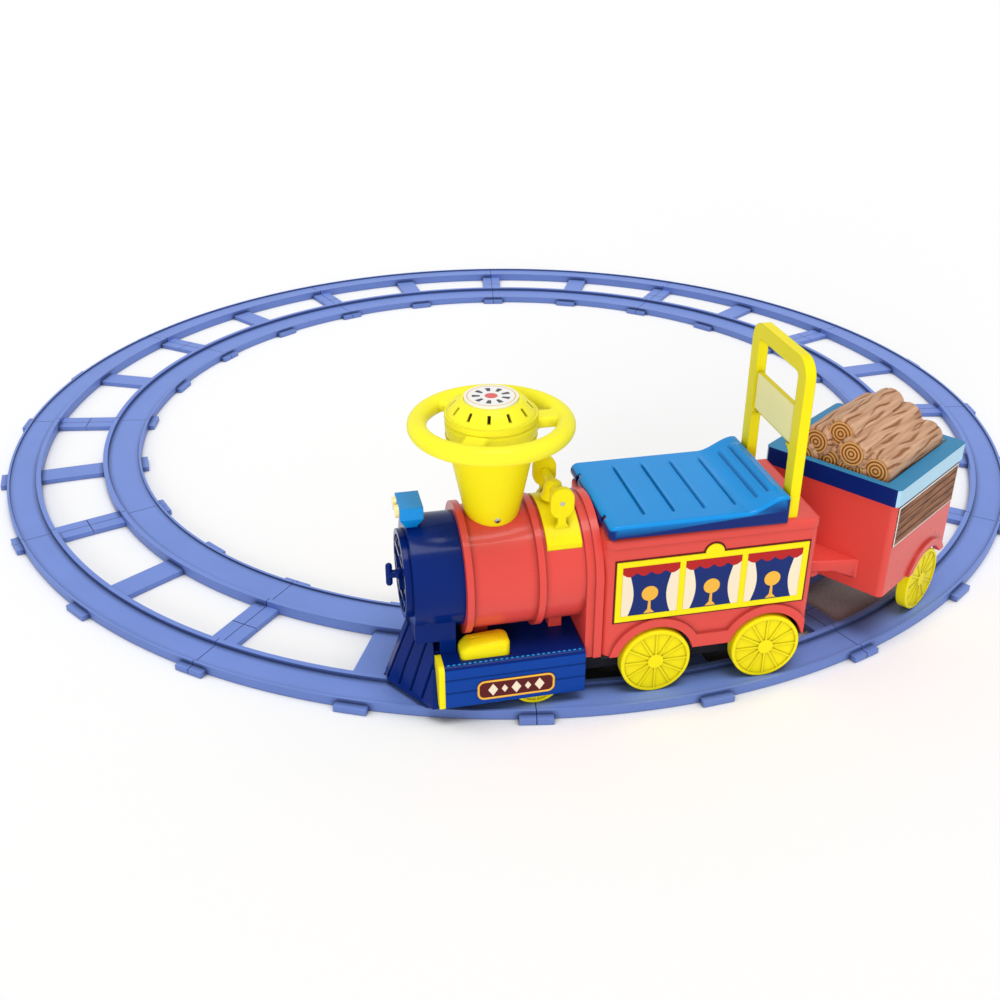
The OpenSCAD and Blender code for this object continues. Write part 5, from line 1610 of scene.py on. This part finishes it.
@dataclass
class Studio:
    """Pale floor with a painted shadow under the object, a soft light from above and one from the front, even world
    light and the photograph's camera.
    """

    floor_half: float = 30.0
    floor_drop: float = 0.5
    floor_color: Color = (0.96, 0.96, 0.96)
    floor_roughness: float = 0.9
    shadow_color: Color = (0.0, 0.0, 0.0)
    contact_shadow_reach: float = 0.15
    contact_shadow_samples: int = 6
    contact_shadow_contrast: tuple[float, float] = (2.0, -0.3)
    contact_shadow_least: float = 0.08
    world_color: Color = (1.0, 1.0, 1.0)
    world_strength: float = 0.45
    backdrop_strength: float = 1.0
    suns: tuple[Sun, ...] = (Sun("top_light", (0.05, -0.18, 0.98), 1.6, 30.0),
                             Sun("front_light", (-0.45, -0.86, 0.22), 1.3, 30.0, in_gloss=False,
                                 kept_off="track_section"))
    camera_place: tuple[float, float, float] = (-0.473, -2.126, 1.005)
    camera_turn: float = -12.26
    camera_pitch: float = 28.72
    camera_lens: float = 42.30
    sensor: float = 36.0

    def build(self) -> None:
        """Makes the floor, the world, the lights and the camera."""
        self.floor()
        self.world()
        for sun in self.suns:
            sun.build()
        self.camera()

    def floor(self) -> None:
        """Flat square floor under the track, white in the open, with a shadow painted in from ambient occlusion close
        under the object.
        """
        half, level = self.floor_half, -self.floor_drop * MM
        mesh = bpy.data.meshes.new("studio_floor")
        corners = [(-half, -half), (half, -half), (half, half), (-half, half)]
        mesh.from_pydata([(x, y, level) for x, y in corners], [], [(0, 1, 2, 3)])
        made = bpy.data.objects.new("studio_floor", mesh)
        bpy.context.scene.collection.objects.link(made)
        paint, wires, shader = new_material("studio_floor")
        # Painted shadow: ambient occlusion from nearby pieces darkens the floor's colour towards the shadow colour.
        open_sky = wires.add("AmbientOcclusion", {"Distance": self.contact_shadow_reach})
        open_sky.samples = self.contact_shadow_samples
        light = wires.math("MULTIPLY_ADD", open_sky.outputs["AO"], *self.contact_shadow_contrast)
        light = wires.math("MINIMUM", wires.math("MAXIMUM", light, self.contact_shadow_least), 1.0)
        for socket, value in (("Base Color", wires.mix(light, self.shadow_color, self.floor_color)),
                              ("Roughness", self.floor_roughness), ("Specular IOR Level", 0.0)):
            wires.feed(shader.inputs[socket], value)
        mesh.materials.append(paint)

    def world(self) -> None:
        """Even white light, and a white background to the camera and to glossy and clear surfaces."""
        world = bpy.data.worlds.new("studio_world")
        world.use_nodes = True
        wires = Wires(world.node_tree)
        wires.tree.nodes.clear()
        path = wires.add("LightPath").outputs
        clear = wires.math("MAXIMUM", path["Is Glossy Ray"], path["Is Transmission Ray"])
        mix = wires.add("MixShader", {"Fac": wires.math("MAXIMUM", path["Is Camera Ray"], clear)})
        for socket, strength in zip(mix.inputs[1:], (self.world_strength, self.backdrop_strength)):
            ground = wires.add("Background", {"Color": self.world_color, "Strength": strength})
            wires.feed(socket, ground.outputs["Background"])
        wires.add("OutputWorld", {"Surface": mix.outputs["Shader"]})
        bpy.context.scene.world = world

    def camera(self) -> None:
        """Camera at the photograph's viewpoint."""
        data = bpy.data.cameras.new("photo_camera")
        data.lens = self.camera_lens
        data.sensor_width = self.sensor
        made = bpy.data.objects.new("photo_camera", data)
        made.location = self.camera_place
        made.rotation_euler = (math.radians(90 - self.camera_pitch), 0, math.radians(self.camera_turn))
        bpy.context.scene.collection.objects.link(made)
        bpy.context.scene.camera = made


@dataclass
class CadDress:
    """Finishes of the CAD nodes: each node's own, or the first one of its slot.

    The deck's top and the tender rim's front are painted darker as shade, and the rim's top has a teal tone, each
    from a little below the surface.
    """

    deck_shade_band: float = 5.0
    rim_top_band: float = 0.5
    rim_front_shade_band: float = 1.0

    def build(self) -> None:
        """Puts its finish on every CAD node."""
        own = {"running_deck": self.deck(), "tender_rim": self.rim(), "horn_button": HornFace(),
               "hub_cover": Plastic.LIT_YELLOW.value}
        first: dict[str, Finish] = {}
        for kind in Plastic:
            first.setdefault(kind.value.slot, kind.value)
        for part in frame["record"]["subparts"]:
            node = frame["nodes"][part["node"]]
            finish = own.get(part["node"]) or first[part["material_slot"]]
            node.data.materials.clear()
            node.data.materials.append(finish.material())

    def deck(self) -> Finish:
        """Finish of the running deck, with its top painted navy as shade under the boiler."""
        # Painted shade: above this level the deck takes the navy tone of the shade under the boiler.
        top = LevelMask((0, 0, 1), (LOCO.span("running_deck")[1][2] - self.deck_shade_band) * MM)
        return Finish("deck_plastic", "navy_plastic", Tone.SKIRT.value, roughness=0.25, specular=0.1,
                      layers=((top, Tone.NAVY.value),))

    def rim(self) -> Finish:
        """Makes the finish of the tender's rim.

        Returns:
            The finish, pale with a teal top and its front painted navy as shade.
        """
        high = TENDER.span("tender_rim")[1]
        top = LevelMask((0, 0, 1), (high[2] - self.rim_top_band) * MM)
        # Painted shade: the rim's front takes the navy tone of the face turned from the light.
        shaded_front_level = TENDER.origin @ TENDER.forward + high[0] - self.rim_front_shade_band
        front = LevelMask(tuple(TENDER.forward), shaded_front_level * MM)
        return Finish("rim_plastic", "navy_plastic", Tone.SKY.value, specular=0.1,
                      layers=((top, Tone.TEAL.value), (front, Tone.NAVY.value)))


def main() -> None:
    """Builds the set's looks in order."""
    logging.basicConfig(level=logging.INFO, format="%(name)s: %(message)s")
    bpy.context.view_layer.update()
    bpy.context.scene.view_settings.view_transform = "Standard"
    for assembly in (Studio(), CadDress(), SeatLid(), SteeringWheel(), Pedals(), LogHeap(), WindowPanels(),
                     DeckDress(), ColumnScrews(), DoorHandle(), BackrestPad(), PlankPanels(), DrawbarHood()):
        assembly.build()
    LOG.info("sizes written")


if __name__ == "__main__":
    main()
